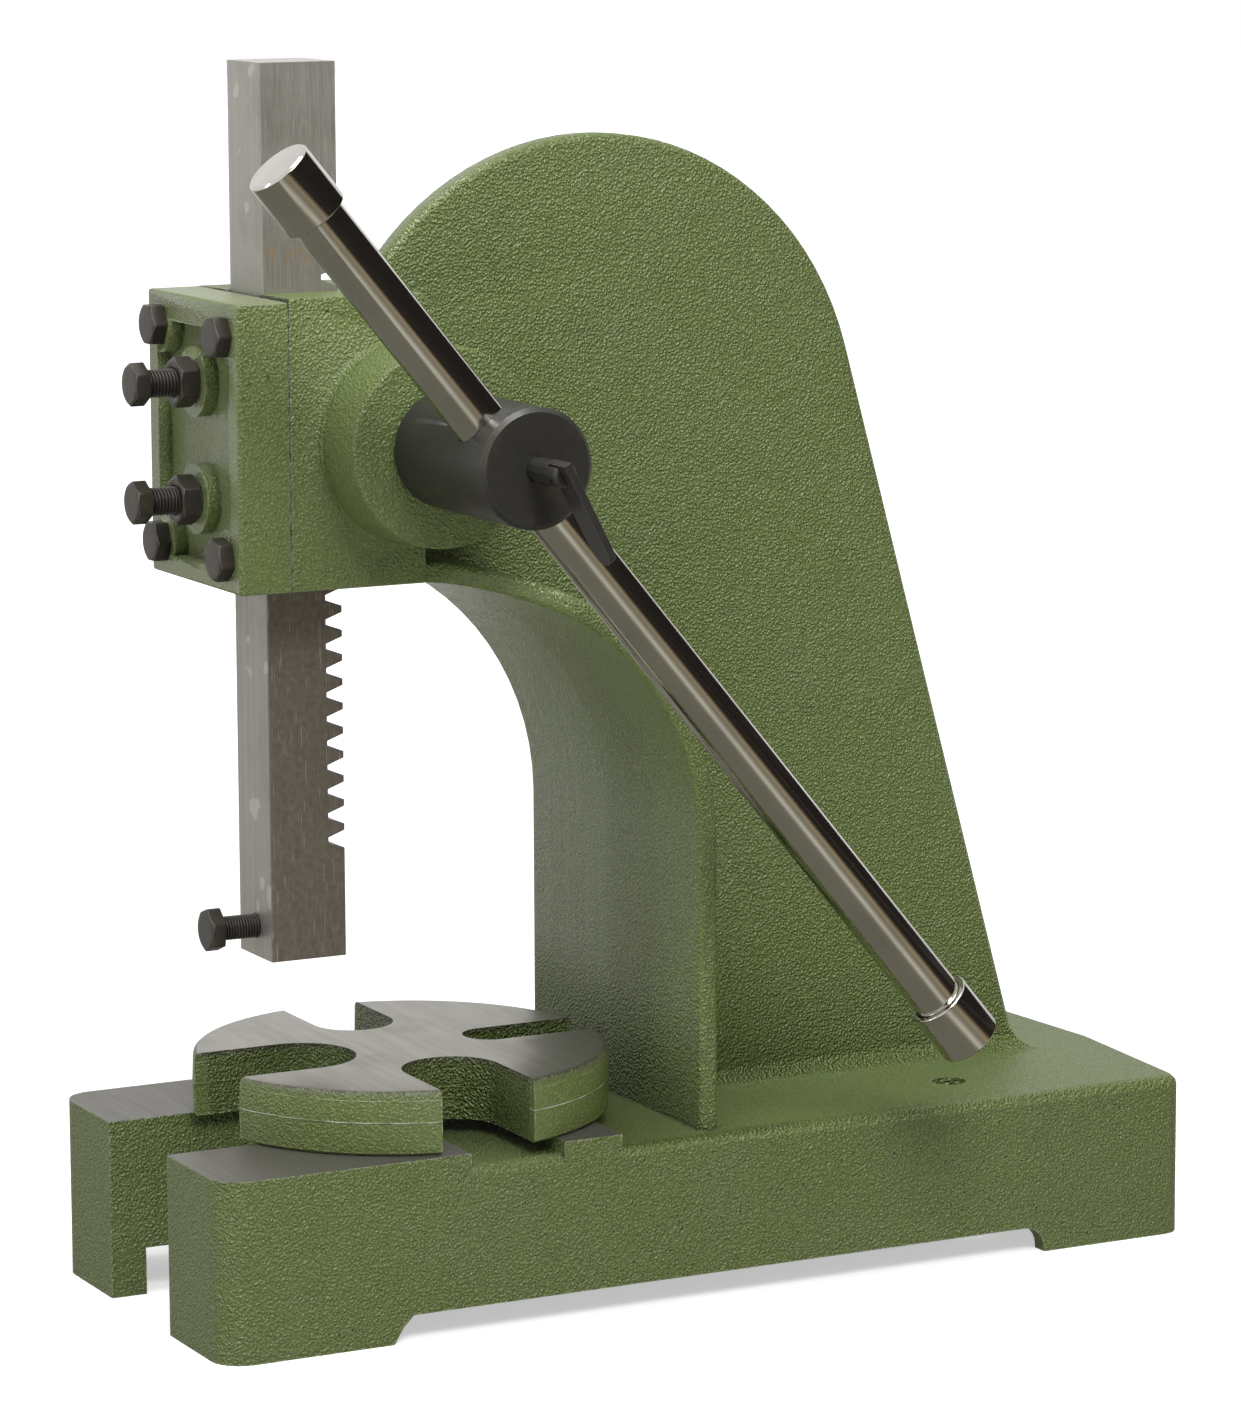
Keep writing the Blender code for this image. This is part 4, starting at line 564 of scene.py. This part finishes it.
def make_ram_steel(colours):
    """Ground ram: upright grinding lines, scratches, a brown painted dark reflection low on the side faces
    towards the tool end, an ochre smear.
    """
    material, tree, shader, place = new_material("ground_ram_steel")
    high = split(tree, place)[2]
    colour, roughness, height = machined_parts(tree, place, colours.ram_steel, RAM_MARKS)
    sideways = calc(tree, "ABSOLUTE", normal_parts(tree)[0])
    streak = noise(tree, stretched(tree, place, RAM_STREAKS), 1.0, 3.0, 0.7)
    ground = product(tree, ramp(tree, streak, 0.40, 0.70, end=0.55), sideways)
    lined = blend_colour(tree, ground, colour, RAM_LINE)
    # Side faces darker towards the bottom: painted dark reflection
    low = ramp(tree, high, PAINTED_REFLECTION_TOP, PAINTED_REFLECTION_FULL, start=0.12)
    cloud = ramp(tree, noise(tree, place, 300.0, 4.0, 0.7), 0.20, 0.75, start=0.62, end=0.92)
    low_painted_reflection = product(tree, low, cloud, ramp(tree, sideways, 0.2, 0.8, start=0.18))
    brown = blend_colour(tree, low_painted_reflection, lined, RAM_PAINTED_REFLECTION)
    crossing = node(tree, "ShaderNodeMapping", {"Vector": place, "Rotation": (0.5, 0.3, 0.2),
                    "Scale": (60.0, 2400.0, 60.0)}).outputs[0]
    scratch = ramp(tree, noise(tree, crossing, 1.0, 1.0), 0.69, 0.73, end=0.6)
    scratched = blend_colour(tree, scratch, brown, RAM_SCRATCH)
    smear = product(tree, ramp(tree, gap(tree, high, SMEAR_HEIGHT), 0.006, 0.001),
                    ramp(tree, noise(tree, place, 210.0, 3.0, 0.7), 0.48, 0.62, end=0.45), sideways)
    smeared = blend_colour(tree, smear, scratched, RAM_SMEAR)
    finish_shader(tree, shader, (smeared, roughness, height), metal=0.55, bump_height=0.00003,
                  strength=0.5)
    return material


def make_black(name, colour, reach, worn):
    """Black oxide on steel: faint mottling, brown stains, rubbed edges and painted shade in the corners and
    thread valleys.
    """
    material, tree, shader, place = new_material(name)
    edges = use_group(tree, "edges", {"Reach": reach})
    mottle = noise(tree, place, 260.0, 4.0, 0.6)
    stain = ramp(tree, noise(tree, place, 75.0, 3.0), 0.5, 0.75)
    dark = blend_colour(tree, mottle, full(colour), full(colour, 1.5))
    brown = blend_colour(tree, product(tree, stain, 0.35), dark, OXIDE_STAIN)
    rubbed = blend_colour(tree, product(tree, edges["Outer"], worn), brown, OXIDE_RUBBED)
    # Painted shade in corners and thread valleys, where the ambient occlusion is low
    corner_shaded = blend_colour(tree, product(tree, edges["Inner"], 0.8), rubbed, HOLLOW_PAINTED_SHADE)
    roughness = blend_value(tree, mottle, 0.30, 0.44)
    finish_shader(tree, shader, (corner_shaded, roughness, mottle), metal=0.4, bump_height=0.00004,
                  strength=0.6)
    return material


def make_chrome(colours):
    """Bright plating with fine lines along the bar and a few smudges."""
    material, tree, shader, place = new_material("chromed_steel")
    aligned = node(tree, "ShaderNodeMapping", {"Vector": place, "Rotation": (LEVER_SLOPE, 0.0, 0.0),
                   "Scale": (1.0, 0.012, 1.0)}).outputs[0]
    lines = noise(tree, aligned, 1500.0, 2.0, 0.6)
    smudge = noise(tree, place, 30.0, 4.0, 0.6)
    dull = ramp(tree, smudge, 0.4, 0.7)
    colour = blend_colour(tree, dull, full(colours.chrome), full(colours.chrome, 0.9))
    roughness = blend_value(tree, smudge, 0.08, 0.17)
    finish_shader(tree, shader, (colour, roughness, lines), metal=1.0, bump_height=0.00002,
                  strength=0.5)
    return material


# Surfaces


def new_object(name, mesh):
    """Object for a mesh, linked to the scene."""
    made = bpy.data.objects.new(name, mesh)
    bpy.context.scene.collection.objects.link(made)
    return made


def new_piece(name, mesh, body, nodes):
    """Piece that rides on a body and stands for CAD nodes."""
    piece = new_object(name, mesh)
    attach(piece, body)
    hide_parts(*nodes)
    return piece


def dressed_copy(name, source, material, body):
    """Copy of a CAD node with its loose triangles joined and its round faces smooth."""
    mesh = NODES[source].data.copy()
    mesh.name = name
    shape = bmesh.new()
    shape.from_mesh(mesh)
    bmesh.ops.remove_doubles(shape, verts=shape.verts, dist=0.000002)
    bmesh.ops.dissolve_limit(shape, angle_limit=math.radians(0.05), verts=shape.verts, edges=shape.edges)
    bmesh.ops.recalc_face_normals(shape, faces=shape.faces)
    shape.to_mesh(mesh)
    shape.free()
    mesh.materials.clear()
    mesh.materials.append(material)
    mesh.shade_smooth()
    mesh.set_sharp_from_angle(angle=math.radians(30))
    return new_piece(name, mesh, body, (source,))


def node_points(name):
    """Corners of a CAD node as an array of points."""
    vertices = NODES[name].data.vertices
    points = np.empty(3 * len(vertices))
    vertices.foreach_get("co", points)
    return points.reshape(-1, 3)


def ring_surface(name, rings, material, body, nodes):
    """Closed surface through rings of points: neighbours joined by quads, end rings drawn to a point."""
    count, sides = rings.shape[0], rings.shape[1]
    here = np.arange(count * sides).reshape(count, sides)
    beside = np.roll(here, -1, axis=1)
    quads = np.stack([here[:-1], beside[:-1], beside[1:], here[1:]], axis=-1).reshape(-1, 4)
    mesh = bpy.data.meshes.new(name)
    mesh.from_pydata(rings.reshape(-1, 3).tolist(), [], quads.tolist())
    shape = bmesh.new()
    shape.from_mesh(mesh)
    bmesh.ops.remove_doubles(shape, verts=shape.verts, dist=0.000001)
    bmesh.ops.recalc_face_normals(shape, faces=shape.faces)
    shape.to_mesh(mesh)
    shape.free()
    mesh.materials.append(material)
    mesh.shade_smooth()
    return new_piece(name, mesh, body, nodes)


def axis_frame(direction):
    """Two unit vectors square to a direction and to each other."""
    direction = np.array(direction, float) / np.linalg.norm(direction)
    helper = np.array((1.0, 0, 0)) if abs(direction[0]) < 0.9 else np.array((0, 1.0, 0))
    across = np.cross(direction, helper)
    across /= np.linalg.norm(across)
    return direction, across, np.cross(direction, across)


def ring_points(centre, direction, radii, alongs, sides):
    """Points centre + along * direction + radius * (cos t * across + sin t * upright), t a full turn.

    radii and alongs hold one row for each ring, with one value or one for each side.
    """
    direction, across, upright = axis_frame(direction)
    turn = 2 * np.pi * np.arange(sides) / sides
    spoke = np.cos(turn)[:, None] * across + np.sin(turn)[:, None] * upright
    radii = np.broadcast_to(np.asarray(radii, float).reshape(len(radii), -1), (len(radii), sides))
    alongs = np.broadcast_to(np.asarray(alongs, float).reshape(len(alongs), -1), (len(alongs), sides))
    return np.asarray(centre) + alongs[..., None] * direction + radii[..., None] * spoke


def rounded_profile(corners, radius):
    """Profile of (radius, along) corners with each corner but the ends rounded by a quadratic curve.

    Point = (1-t)^2 * start + 2t(1-t) * corner + t^2 * end, t from 0 to 1, start and end lying at most
    one rounding radius from the corner on its two sides.
    """
    corners = np.asarray(corners, float)
    before, corner, after = corners[:-2], corners[1:-1], corners[2:]
    back, on = before - corner, after - corner
    back_length = np.linalg.norm(back, axis=1, keepdims=True)
    on_length = np.linalg.norm(on, axis=1, keepdims=True)
    start = corner + back / back_length * np.minimum(radius, 0.45 * back_length)
    end = corner + on / on_length * np.minimum(radius, 0.45 * on_length)
    t = np.linspace(0, 1, CURVE_STEPS + 1)[None, :, None]
    curve = (1 - t) ** 2 * start[:, None] + 2 * t * (1 - t) * corner[:, None] + t ** 2 * end[:, None]
    return np.concatenate([corners[:1], curve.reshape(-1, 2), corners[-1:]])


def hex_radius(half_flats, corner_turn):
    """Distance from the axis to a hexagon with slightly rounded corners, one value for each side.

    Radius = half_flats / (sum over the six flats of max(0, cos(t - flat)) ^ 48) ^ (1 / 48).
    """
    turn = 2 * np.pi * np.arange(HEX_SIDES) / HEX_SIDES
    flats = corner_turn + np.pi / 6 + np.pi / 3 * np.arange(6)
    reach = np.maximum(0, np.cos(turn[:, None] - flats)) ** HEX_POWER
    return half_flats / reach.sum(axis=1) ** (1 / HEX_POWER)


def hex_head_rings(hexagon, half_flats, head):
    """Rings up a hex head: wall, 30 degree cone and flat face, with the face's centre last.

    They come as radii and as heights, a row for each ring. A cone ring of radius r stands at
    head - (r - face radius) * tan 30.
    """
    face_radius = FACE_SHARE * half_flats
    shares = np.array([1.0, SOFT_EDGE, 0.5, 0.03])[:, None]
    cone = face_radius + (hexagon - face_radius) * shares
    cone_high = head - (cone - face_radius) * math.tan(math.radians(30))
    soft = head * 0.015
    level = np.ones_like(hexagon)
    radii = np.vstack([hexagon * SOFT_EDGE, hexagon, hexagon, cone, level * face_radius * SOFT_EDGE,
                       level * face_radius * 0.5, level * 0])
    alongs = np.vstack([level * 0, level * soft, cone_high[0] - soft, cone_high, level * head,
                        level * head, level * head])
    return radii, alongs


def thread_radius(alongs, radius, pitch):
    """Radius of a threaded shank, a row for each ring and a value for each side.

    Radius = shank - depth * |2 p - 1| ^ 1.3, where p runs from 0 to 1 along each pitch and the
    thread climbs one pitch for each turn.
    """
    turn = np.arange(HEX_SIDES) / HEX_SIDES
    phase = (alongs[:, None] / pitch - turn) % 1.0
    return radius - THREAD_DEPTH * pitch * np.abs(2 * phase - 1) ** 1.3


def corner_turn_of(points, centre, direction):
    """Turn of a hexagon's corners about an axis, from the points that lie furthest from it."""
    across, upright = axis_frame(direction)[1:]
    flat = points - centre
    u, v = flat @ across, flat @ upright
    reach = np.hypot(u, v)
    corners = reach > SOFT_EDGE * reach.max()
    return np.angle(np.exp(6j * np.arctan2(v[corners], u[corners])).sum()) / 6


def make_hex_screw(node_name, material, body, sizes, pitch=0.0):
    """Hex screw in the place of its CAD node, head to the front, threaded where a pitch is given."""
    half_flats, head, shank = sizes
    points = node_points(node_name)
    low, high = points.min(axis=0), points.max(axis=0)
    centre = (low + high) / 2
    centre[1] = low[1] + head
    length = high[1] - low[1] - head
    hexagon = hex_radius(half_flats, corner_turn_of(points, centre, HEAD_DIRECTION))
    head_radii, head_alongs = hex_head_rings(hexagon, half_flats, head)
    if pitch:
        climb = np.arange(-length + SCREW_TIP, -THREAD_END, pitch / THREAD_STEPS)
        shank_radii = thread_radius(climb, shank, pitch)
    else:
        climb = np.array([-length + SCREW_TIP, -THREAD_END])
        shank_radii = np.full((2, HEX_SIDES), shank)
    tip = np.array([0, shank - SCREW_TIP])[:, None] * np.ones(HEX_SIDES)
    neck = np.full((2, HEX_SIDES), shank * NECK_SHARE)
    radii = np.vstack([tip, shank_radii, neck, head_radii])
    levels = np.concatenate([[-length, -length], climb, [-NECK_LENGTH, 0.0]])
    alongs = np.vstack([levels[:, None] * np.ones(HEX_SIDES), head_alongs])
    rings = ring_points(centre, HEAD_DIRECTION, radii, alongs, HEX_SIDES)
    return ring_surface("dressed_" + node_name, rings, material, body, (node_name,))


def make_nut(node_name, material):
    """Hex nut with both ends coned and its bore chamfered, in the place of its CAD node."""
    points = node_points(node_name)
    low, high = points.min(axis=0), points.max(axis=0)
    centre = (low + high) / 2
    half = (high[1] - low[1]) / 2
    hexagon = hex_radius(NUT_HALF_FLATS, corner_turn_of(points, centre, HEAD_DIRECTION))
    radii, alongs = hex_head_rings(hexagon, NUT_HALF_FLATS, half)
    radii, alongs = radii[1:-2], alongs[1:-2]
    rim = np.array([NUT_BORE + NUT_CHAMFER, NUT_BORE])[:, None] * np.ones(HEX_SIDES)
    inner = np.array([half, half - NUT_CHAMFER])[:, None] * np.ones(HEX_SIDES)
    radii = np.vstack([rim[::-1], radii[::-1], radii, rim])
    alongs = np.vstack([-inner[::-1], -alongs[::-1], alongs, inner])
    radii = np.vstack([radii, radii[:1]])
    alongs = np.vstack([alongs, alongs[:1]])
    rings = ring_points(centre, HEAD_DIRECTION, radii, alongs, HEX_SIDES)
    return ring_surface("dressed_" + node_name, rings, material, "frame", (node_name,))


def middle_and_half(node_name, direction):
    """Middle of a CAD node's box, and half its length along a direction."""
    points = node_points(node_name)
    alongs = points @ direction
    return (points.min(axis=0) + points.max(axis=0)) / 2, (alongs.max() - alongs.min()) / 2


def make_turned(node_name, centre, direction, corners, rounding, material):
    """Turned piece of the lever from the corners of its half section, each given as (radius, along)."""
    profile = rounded_profile(corners, rounding)
    rings = ring_points(centre, direction, profile[:, 0], profile[:, 1], ROUND_SIDES)
    return ring_surface("dressed_" + node_name, rings, material, "lever", (node_name,))


def paint_node(name, material):
    """Give a CAD node that stays as it is its finish."""
    materials = NODES[name].data.materials
    for index in range(len(materials)):
        materials[index] = material


# Operators, one for each piece or group of like pieces


class DressCasting(bpy.types.Operator):
    """Hammered enamel and milled pads on the frame casting"""

    bl_idname = "press.dress_casting"
    bl_label = "Frame casting"

    def execute(self, context):
        scene = context.scene
        material = make_casting_enamel(scene.press_colours, scene.press_finish)
        dressed_copy("dressed_casting", "frame_casting", material, "frame")
        return {"FINISHED"}


class DressCover(bpy.types.Operator):
    """Hammered enamel on the ram's cover"""

    bl_idname = "press.dress_cover"
    bl_label = "Ram cover"

    def execute(self, context):
        scene = context.scene
        material = make_cover_enamel(scene.press_colours, scene.press_finish)
        dressed_copy("dressed_cover", "ram_cover", material, "frame")
        return {"FINISHED"}


class DressAnvil(bpy.types.Operator):
    """Milled face and enamelled rim of the anvil plate"""

    bl_idname = "press.dress_anvil"
    bl_label = "Anvil plate"

    def execute(self, context):
        scene = context.scene
        material = make_anvil_finish(scene.press_colours, scene.press_finish)
        dressed_copy("dressed_anvil", "anvil_plate", material, "anvil")
        return {"FINISHED"}


class DressRam(bpy.types.Operator):
    """Ground finish on the ram, its gib, gear and key"""

    bl_idname = "press.dress_ram"
    bl_label = "Ram"

    def execute(self, context):
        colours = context.scene.press_colours
        paint_node("ram", make_ram_steel(colours))
        material = make_plain_steel(colours)
        for name in ("gib_plate", "pinion_gear", "pinion_key"):
            paint_node(name, material)
        return {"FINISHED"}


class DressHub(bpy.types.Operator):
    """Black hub, its clamp screw and blade"""

    bl_idname = "press.dress_hub"
    bl_label = "Hub and clamp"

    def execute(self, context):
        colours = context.scene.press_colours
        material = make_black("black_hub", colours.hub_black, reach=0.0006, worn=0.25)
        dressed_copy("dressed_hub", "pinion_shaft", material, "pinion")
        for name in ("clamp_screw", "clamp_blade", "clamp_blade_pin"):
            dressed_copy("dressed_" + name, name, material, "clamp")
        return {"FINISHED"}


class DressScrews(bpy.types.Operator):
    """Black hex screws and nuts"""

    bl_idname = "press.dress_screws"
    bl_label = "Screws and nuts"

    def execute(self, context):
        colours = context.scene.press_colours
        finish = context.scene.press_finish
        material = make_black("black_screw_steel", colours.screw_black, reach=0.0007, worn=0.5)
        for index in range(1, 5):
            make_hex_screw("cover_bolt_%d" % index, material, "frame", COVER_BOLT)
        for level in ("upper", "lower"):
            make_hex_screw("gib_screw_" + level, material, "frame", GIB_SCREW, finish.gib_pitch)
            make_nut("gib_nut_" + level, material)
        make_hex_screw("tool_set_screw", material, "ram_set", TOOL_SCREW, finish.tool_pitch)
        for name in ("retaining_washer", "retaining_screw", "anvil_pivot_pin"):
            paint_node(name, material)
        return {"FINISHED"}


class DressLever(bpy.types.Operator):
    """Chromed lever bar and its two caps"""

    bl_idname = "press.dress_lever"
    bl_label = "Lever"

    def execute(self, context):
        material = make_chrome(context.scene.press_colours)
        direction = np.array((0.0, math.cos(LEVER_SLOPE), -math.sin(LEVER_SLOPE)))
        middle, half = middle_and_half("lever_bar", direction)
        corners = [(0, -half), (LEVER_RADIUS, -half), (LEVER_RADIUS, half), (0, half)]
        make_turned("lever_bar", middle, direction, corners, BAR_ROUNDING, material)
        for name, sign in (("lever_cap_upper", -1), ("lever_cap_lower", 1)):
            middle, half = middle_and_half(name, direction)
            corners = [(0, half), (CAP_RADIUS - CAP_RIM, half), (CAP_RADIUS, half - CAP_RIM),
                       (CAP_RADIUS, -half + CAP_LIP), (CAP_RADIUS - CAP_LIP, -half),
                       (CAP_BORE + CAP_MOUTH, -half), (CAP_BORE, -half + CAP_MOUTH),
                       (CAP_BORE, half - CAP_WALL), (0, half - CAP_WALL)]
            make_turned(name, middle, direction * sign, corners, CAP_ROUNDING, material)
        return {"FINISHED"}


class SetStage(bpy.types.Operator):
    """Pale floor, even surround, soft lamps and the camera"""

    bl_idname = "press.set_stage"
    bl_label = "Stage"

    def execute(self, context):
        scene = context.scene
        stage = scene.press_stage
        make_surround(scene, stage.surround)
        make_floor(scene.press_colours.floor)
        make_lamp("overhead_lamp", stage.overhead, size=(1.0, 1.0), place=(0.35, -0.60, 2.4),
                  target=(0.0, -0.25, 0.2))
        make_lamp("side_lamp", stage.side, size=(1.0, 1.0), place=(2.0, -0.75, 2.2),
                  target=(0.0, -0.25, 0.30))
        make_lamp("front_lamp", stage.front, size=(0.20, 0.9), place=(-0.30, -2.7, 0.85),
                  target=(0.0, -0.4, 0.35))
        make_reflectors()
        make_camera(scene, stage)
        scene.view_settings.view_transform = "Standard"
        return {"FINISHED"}


# Stage


def make_surround(scene, strength):
    """World: white where it is seen or mirrored, and an even light elsewhere."""
    world = bpy.data.worlds.new("studio")
    world.use_nodes = True
    tree = world.node_tree
    path = node(tree, "ShaderNodeLightPath").outputs
    seen = calc(tree, "MAXIMUM", path["Is Camera Ray"], path["Is Glossy Ray"])
    seen = calc(tree, "MAXIMUM", seen, path["Is Transmission Ray"])
    sky = tree.nodes["Background"]
    sky.inputs["Color"].default_value = (1, 1, 1, 1)
    tree.links.new(blend_value(tree, seen, strength, 1.0), sky.inputs["Strength"])
    scene.world = world


def stage_sheet(name, points, faces, material):
    """Sheet for the stage around the press, a plain object with its material."""
    mesh = bpy.data.meshes.new(name)
    mesh.from_pydata(points, [], faces)
    mesh.materials.append(material)
    sheet = new_object(name, mesh)
    return sheet


def make_floor(colour):
    """Pale floor, a little brighter to the camera, so that only the press's shadow shows on it."""
    material, tree, shader, place = new_material("pale_floor")
    shader.inputs["Base Color"].default_value = full(colour)
    shader.inputs["Roughness"].default_value = 0.9
    path = node(tree, "ShaderNodeLightPath").outputs
    extra = ramp(tree, distance(tree, place, PRESS_MIDDLE), 0.5, 2.5, start=0.50)
    lift = node(tree, "ShaderNodeEmission", {"Color": (1, 1, 1, 1),
                "Strength": product(tree, path["Is Camera Ray"], extra)})
    both = node(tree, "ShaderNodeAddShader", {0: shader.outputs[0], 1: lift.outputs[0]})
    tree.links.new(both.outputs[0], tree.nodes["Material Output"].inputs["Surface"])
    reach = FLOOR_REACH
    corners = [(-reach, -reach, 0), (reach, -reach, 0), (reach, reach, 0), (-reach, reach, 0)]
    floor = stage_sheet("floor", corners, [(0, 1, 2, 3)], material)
    floor.visible_glossy = False


def make_reflector(name, turns, top, shades):
    """Closed-bottomed part of a drum about the press that only mirror-like surfaces see.

    Surface: centre + r * (cos t, sin t), z, with t over the turns in degrees and (r, z) from the middle
    of the bottom out to its edge and up the wall to its top. The shades are (height, colour) pairs.
    """
    material, tree, shader, place = new_material(name)
    tree.nodes.remove(shader)
    low, high = shades[0][0], shades[-1][0]
    share = ramp(tree, split(tree, place)[2], low, high)
    blend = node(tree, "ShaderNodeValToRGB", {0: share})
    stops = blend.color_ramp.elements
    while len(stops) < len(shades):
        stops.new(1.0)
    for stop, (level, colour) in zip(stops, shades):
        stop.position = (level - low) / (high - low)
        stop.color = full(colour)
    lit = node(tree, "ShaderNodeEmission", {"Color": blend.outputs[0], "Strength": 1.0})
    tree.links.new(lit.outputs[0], tree.nodes["Material Output"].inputs["Surface"])
    turn = np.radians(np.linspace(turns[0], turns[1], MIRROR_STEPS))[:, None]
    profile = np.array([(0.01, MIRROR_LOW), (MIRROR_RADIUS, MIRROR_LOW), (MIRROR_RADIUS, top)])
    radius, height = profile.T[:, None, :]
    x = MIRROR_CENTRE[0] + radius * np.cos(turn)
    y = MIRROR_CENTRE[1] + radius * np.sin(turn)
    points = np.stack([x, y, np.broadcast_to(height, x.shape)], axis=-1).reshape(-1, 3)
    row = len(profile)
    here = np.arange(points.shape[0] - row).reshape(-1, row)[:, :-1].ravel()
    faces = np.stack([here, here + 1, here + 1 + row, here + row], axis=1)
    drum = stage_sheet(name, points.tolist(), faces.tolist(), material)
    for ray in ("camera", "diffuse", "shadow", "transmission"):
        setattr(drum, "visible_" + ray, False)


def make_reflectors():
    """What the press mirrors beside the white surround: a dim room on the right, a paler one on the left."""
    dark, line = (0.022, 0.019, 0.017), (0.11, 0.10, 0.09)
    room = [(-6.0, (0.200, 0.195, 0.160)), (-3.4, (0.215, 0.208, 0.170)), (-3.0, (0.27, 0.26, 0.215)),
            (-2.6, (0.42, 0.405, 0.34)), (-2.1, (0.72, 0.69, 0.60)), (-1.7, (0.66, 0.63, 0.54)),
            (-1.25, (0.43, 0.41, 0.34)), (-0.85, (0.29, 0.275, 0.225)), (-0.5, (0.26, 0.24, 0.18)),
            (0.0, (0.42, 0.35, 0.25)), (0.3, (0.34, 0.27, 0.18)), (0.55, (0.11, 0.085, 0.06)),
            (0.7, dark), (0.82, dark), (0.86, (0.07, 0.055, 0.045)), (0.90, dark), (1.30, dark),
            (1.36, line), (1.42, dark), (1.9, dark), (1.95, (0.06, 0.055, 0.05)), (2.0, dark), (3.4, dark)]
    make_reflector("mirrored_room", (-30.0, 118.0), 3.4, room)
    pale = [(-6.0, (0.200, 0.195, 0.160)), (-1.0, (0.21, 0.205, 0.17)), (-0.45, (0.34, 0.335, 0.30)),
            (-0.2, (0.54, 0.54, 0.50)), (0.1, (0.68, 0.67, 0.64)), (0.3, (0.68, 0.67, 0.64))]
    make_reflector("mirrored_pale_room", (118.0, 330.0), 0.3, pale)


def make_lamp(name, power, size, place, target):
    """Soft lamp of a width and height that faces a point."""
    lamp = bpy.data.lights.new(name, "AREA")
    lamp.energy = power
    lamp.shape = "RECTANGLE"
    lamp.size, lamp.size_y = size
    thing = bpy.data.objects.new(name, lamp)
    direction = np.array(target) - np.array(place)
    flat = math.hypot(direction[0], direction[1])
    turn = (math.atan2(flat, -direction[2]), 0, math.atan2(direction[1], direction[0]) - math.pi / 2)
    thing.rotation_euler = turn
    thing.location = place
    bpy.context.scene.collection.objects.link(thing)


def make_camera(scene, stage):
    """The photograph's camera: a long lens with the small shift that frames the press."""
    lens = bpy.data.cameras.new("photo_camera")
    lens.sensor_fit = "VERTICAL"
    lens.sensor_height = SENSOR_SIZE
    lens.sensor_width = SENSOR_SIZE
    lens.lens = stage.focal_length
    lens.shift_x, lens.shift_y = CAMERA_SHIFT
    camera = bpy.data.objects.new("photo_camera", lens)
    camera.location = stage.camera_place
    camera.rotation_euler = stage.camera_turn
    scene.collection.objects.link(camera)
    scene.camera = camera


# Panel, and the run from start to finish


class PressPanel(bpy.types.Panel):
    """Lists the press's pieces, its sizes and its colours"""

    bl_idname = "PRESS_PT_pieces"
    bl_label = "Arbor press"
    bl_space_type = "VIEW_3D"
    bl_region_type = "UI"
    bl_category = "Press"

    def draw(self, context):
        for operator in OPERATORS:
            self.layout.operator(operator.bl_idname)
        for group in (context.scene.press_colours, context.scene.press_finish, context.scene.press_stage):
            box = self.layout.box()
            for name in group.bl_rna.properties.keys():
                if name not in ("rna_type", "name"):
                    box.prop(group, name)


GROUP_CLASSES = (PressColours, PressFinish, PressStage)
OPERATORS = (DressCasting, DressCover, DressAnvil, DressRam, DressHub, DressScrews, DressLever, SetStage)


def register():
    """Register the classes and give each scene its settings."""
    for kind in GROUP_CLASSES + OPERATORS + (PressPanel,):
        bpy.utils.register_class(kind)
    bpy.types.Scene.press_colours = PointerProperty(type=PressColours)
    bpy.types.Scene.press_finish = PointerProperty(type=PressFinish)
    bpy.types.Scene.press_stage = PointerProperty(type=PressStage)


def unregister():
    """Take the settings and the classes away again."""
    del bpy.types.Scene.press_stage
    del bpy.types.Scene.press_finish
    del bpy.types.Scene.press_colours
    for kind in reversed(GROUP_CLASSES + OPERATORS + (PressPanel,)):
        bpy.utils.unregister_class(kind)


def main():
    """Register the classes and dress each piece in order."""
    register()
    for operator in OPERATORS:
        family, name = operator.bl_idname.split(".")
        getattr(getattr(bpy.ops, family), name)()


if __name__ == "__main__":
    main()
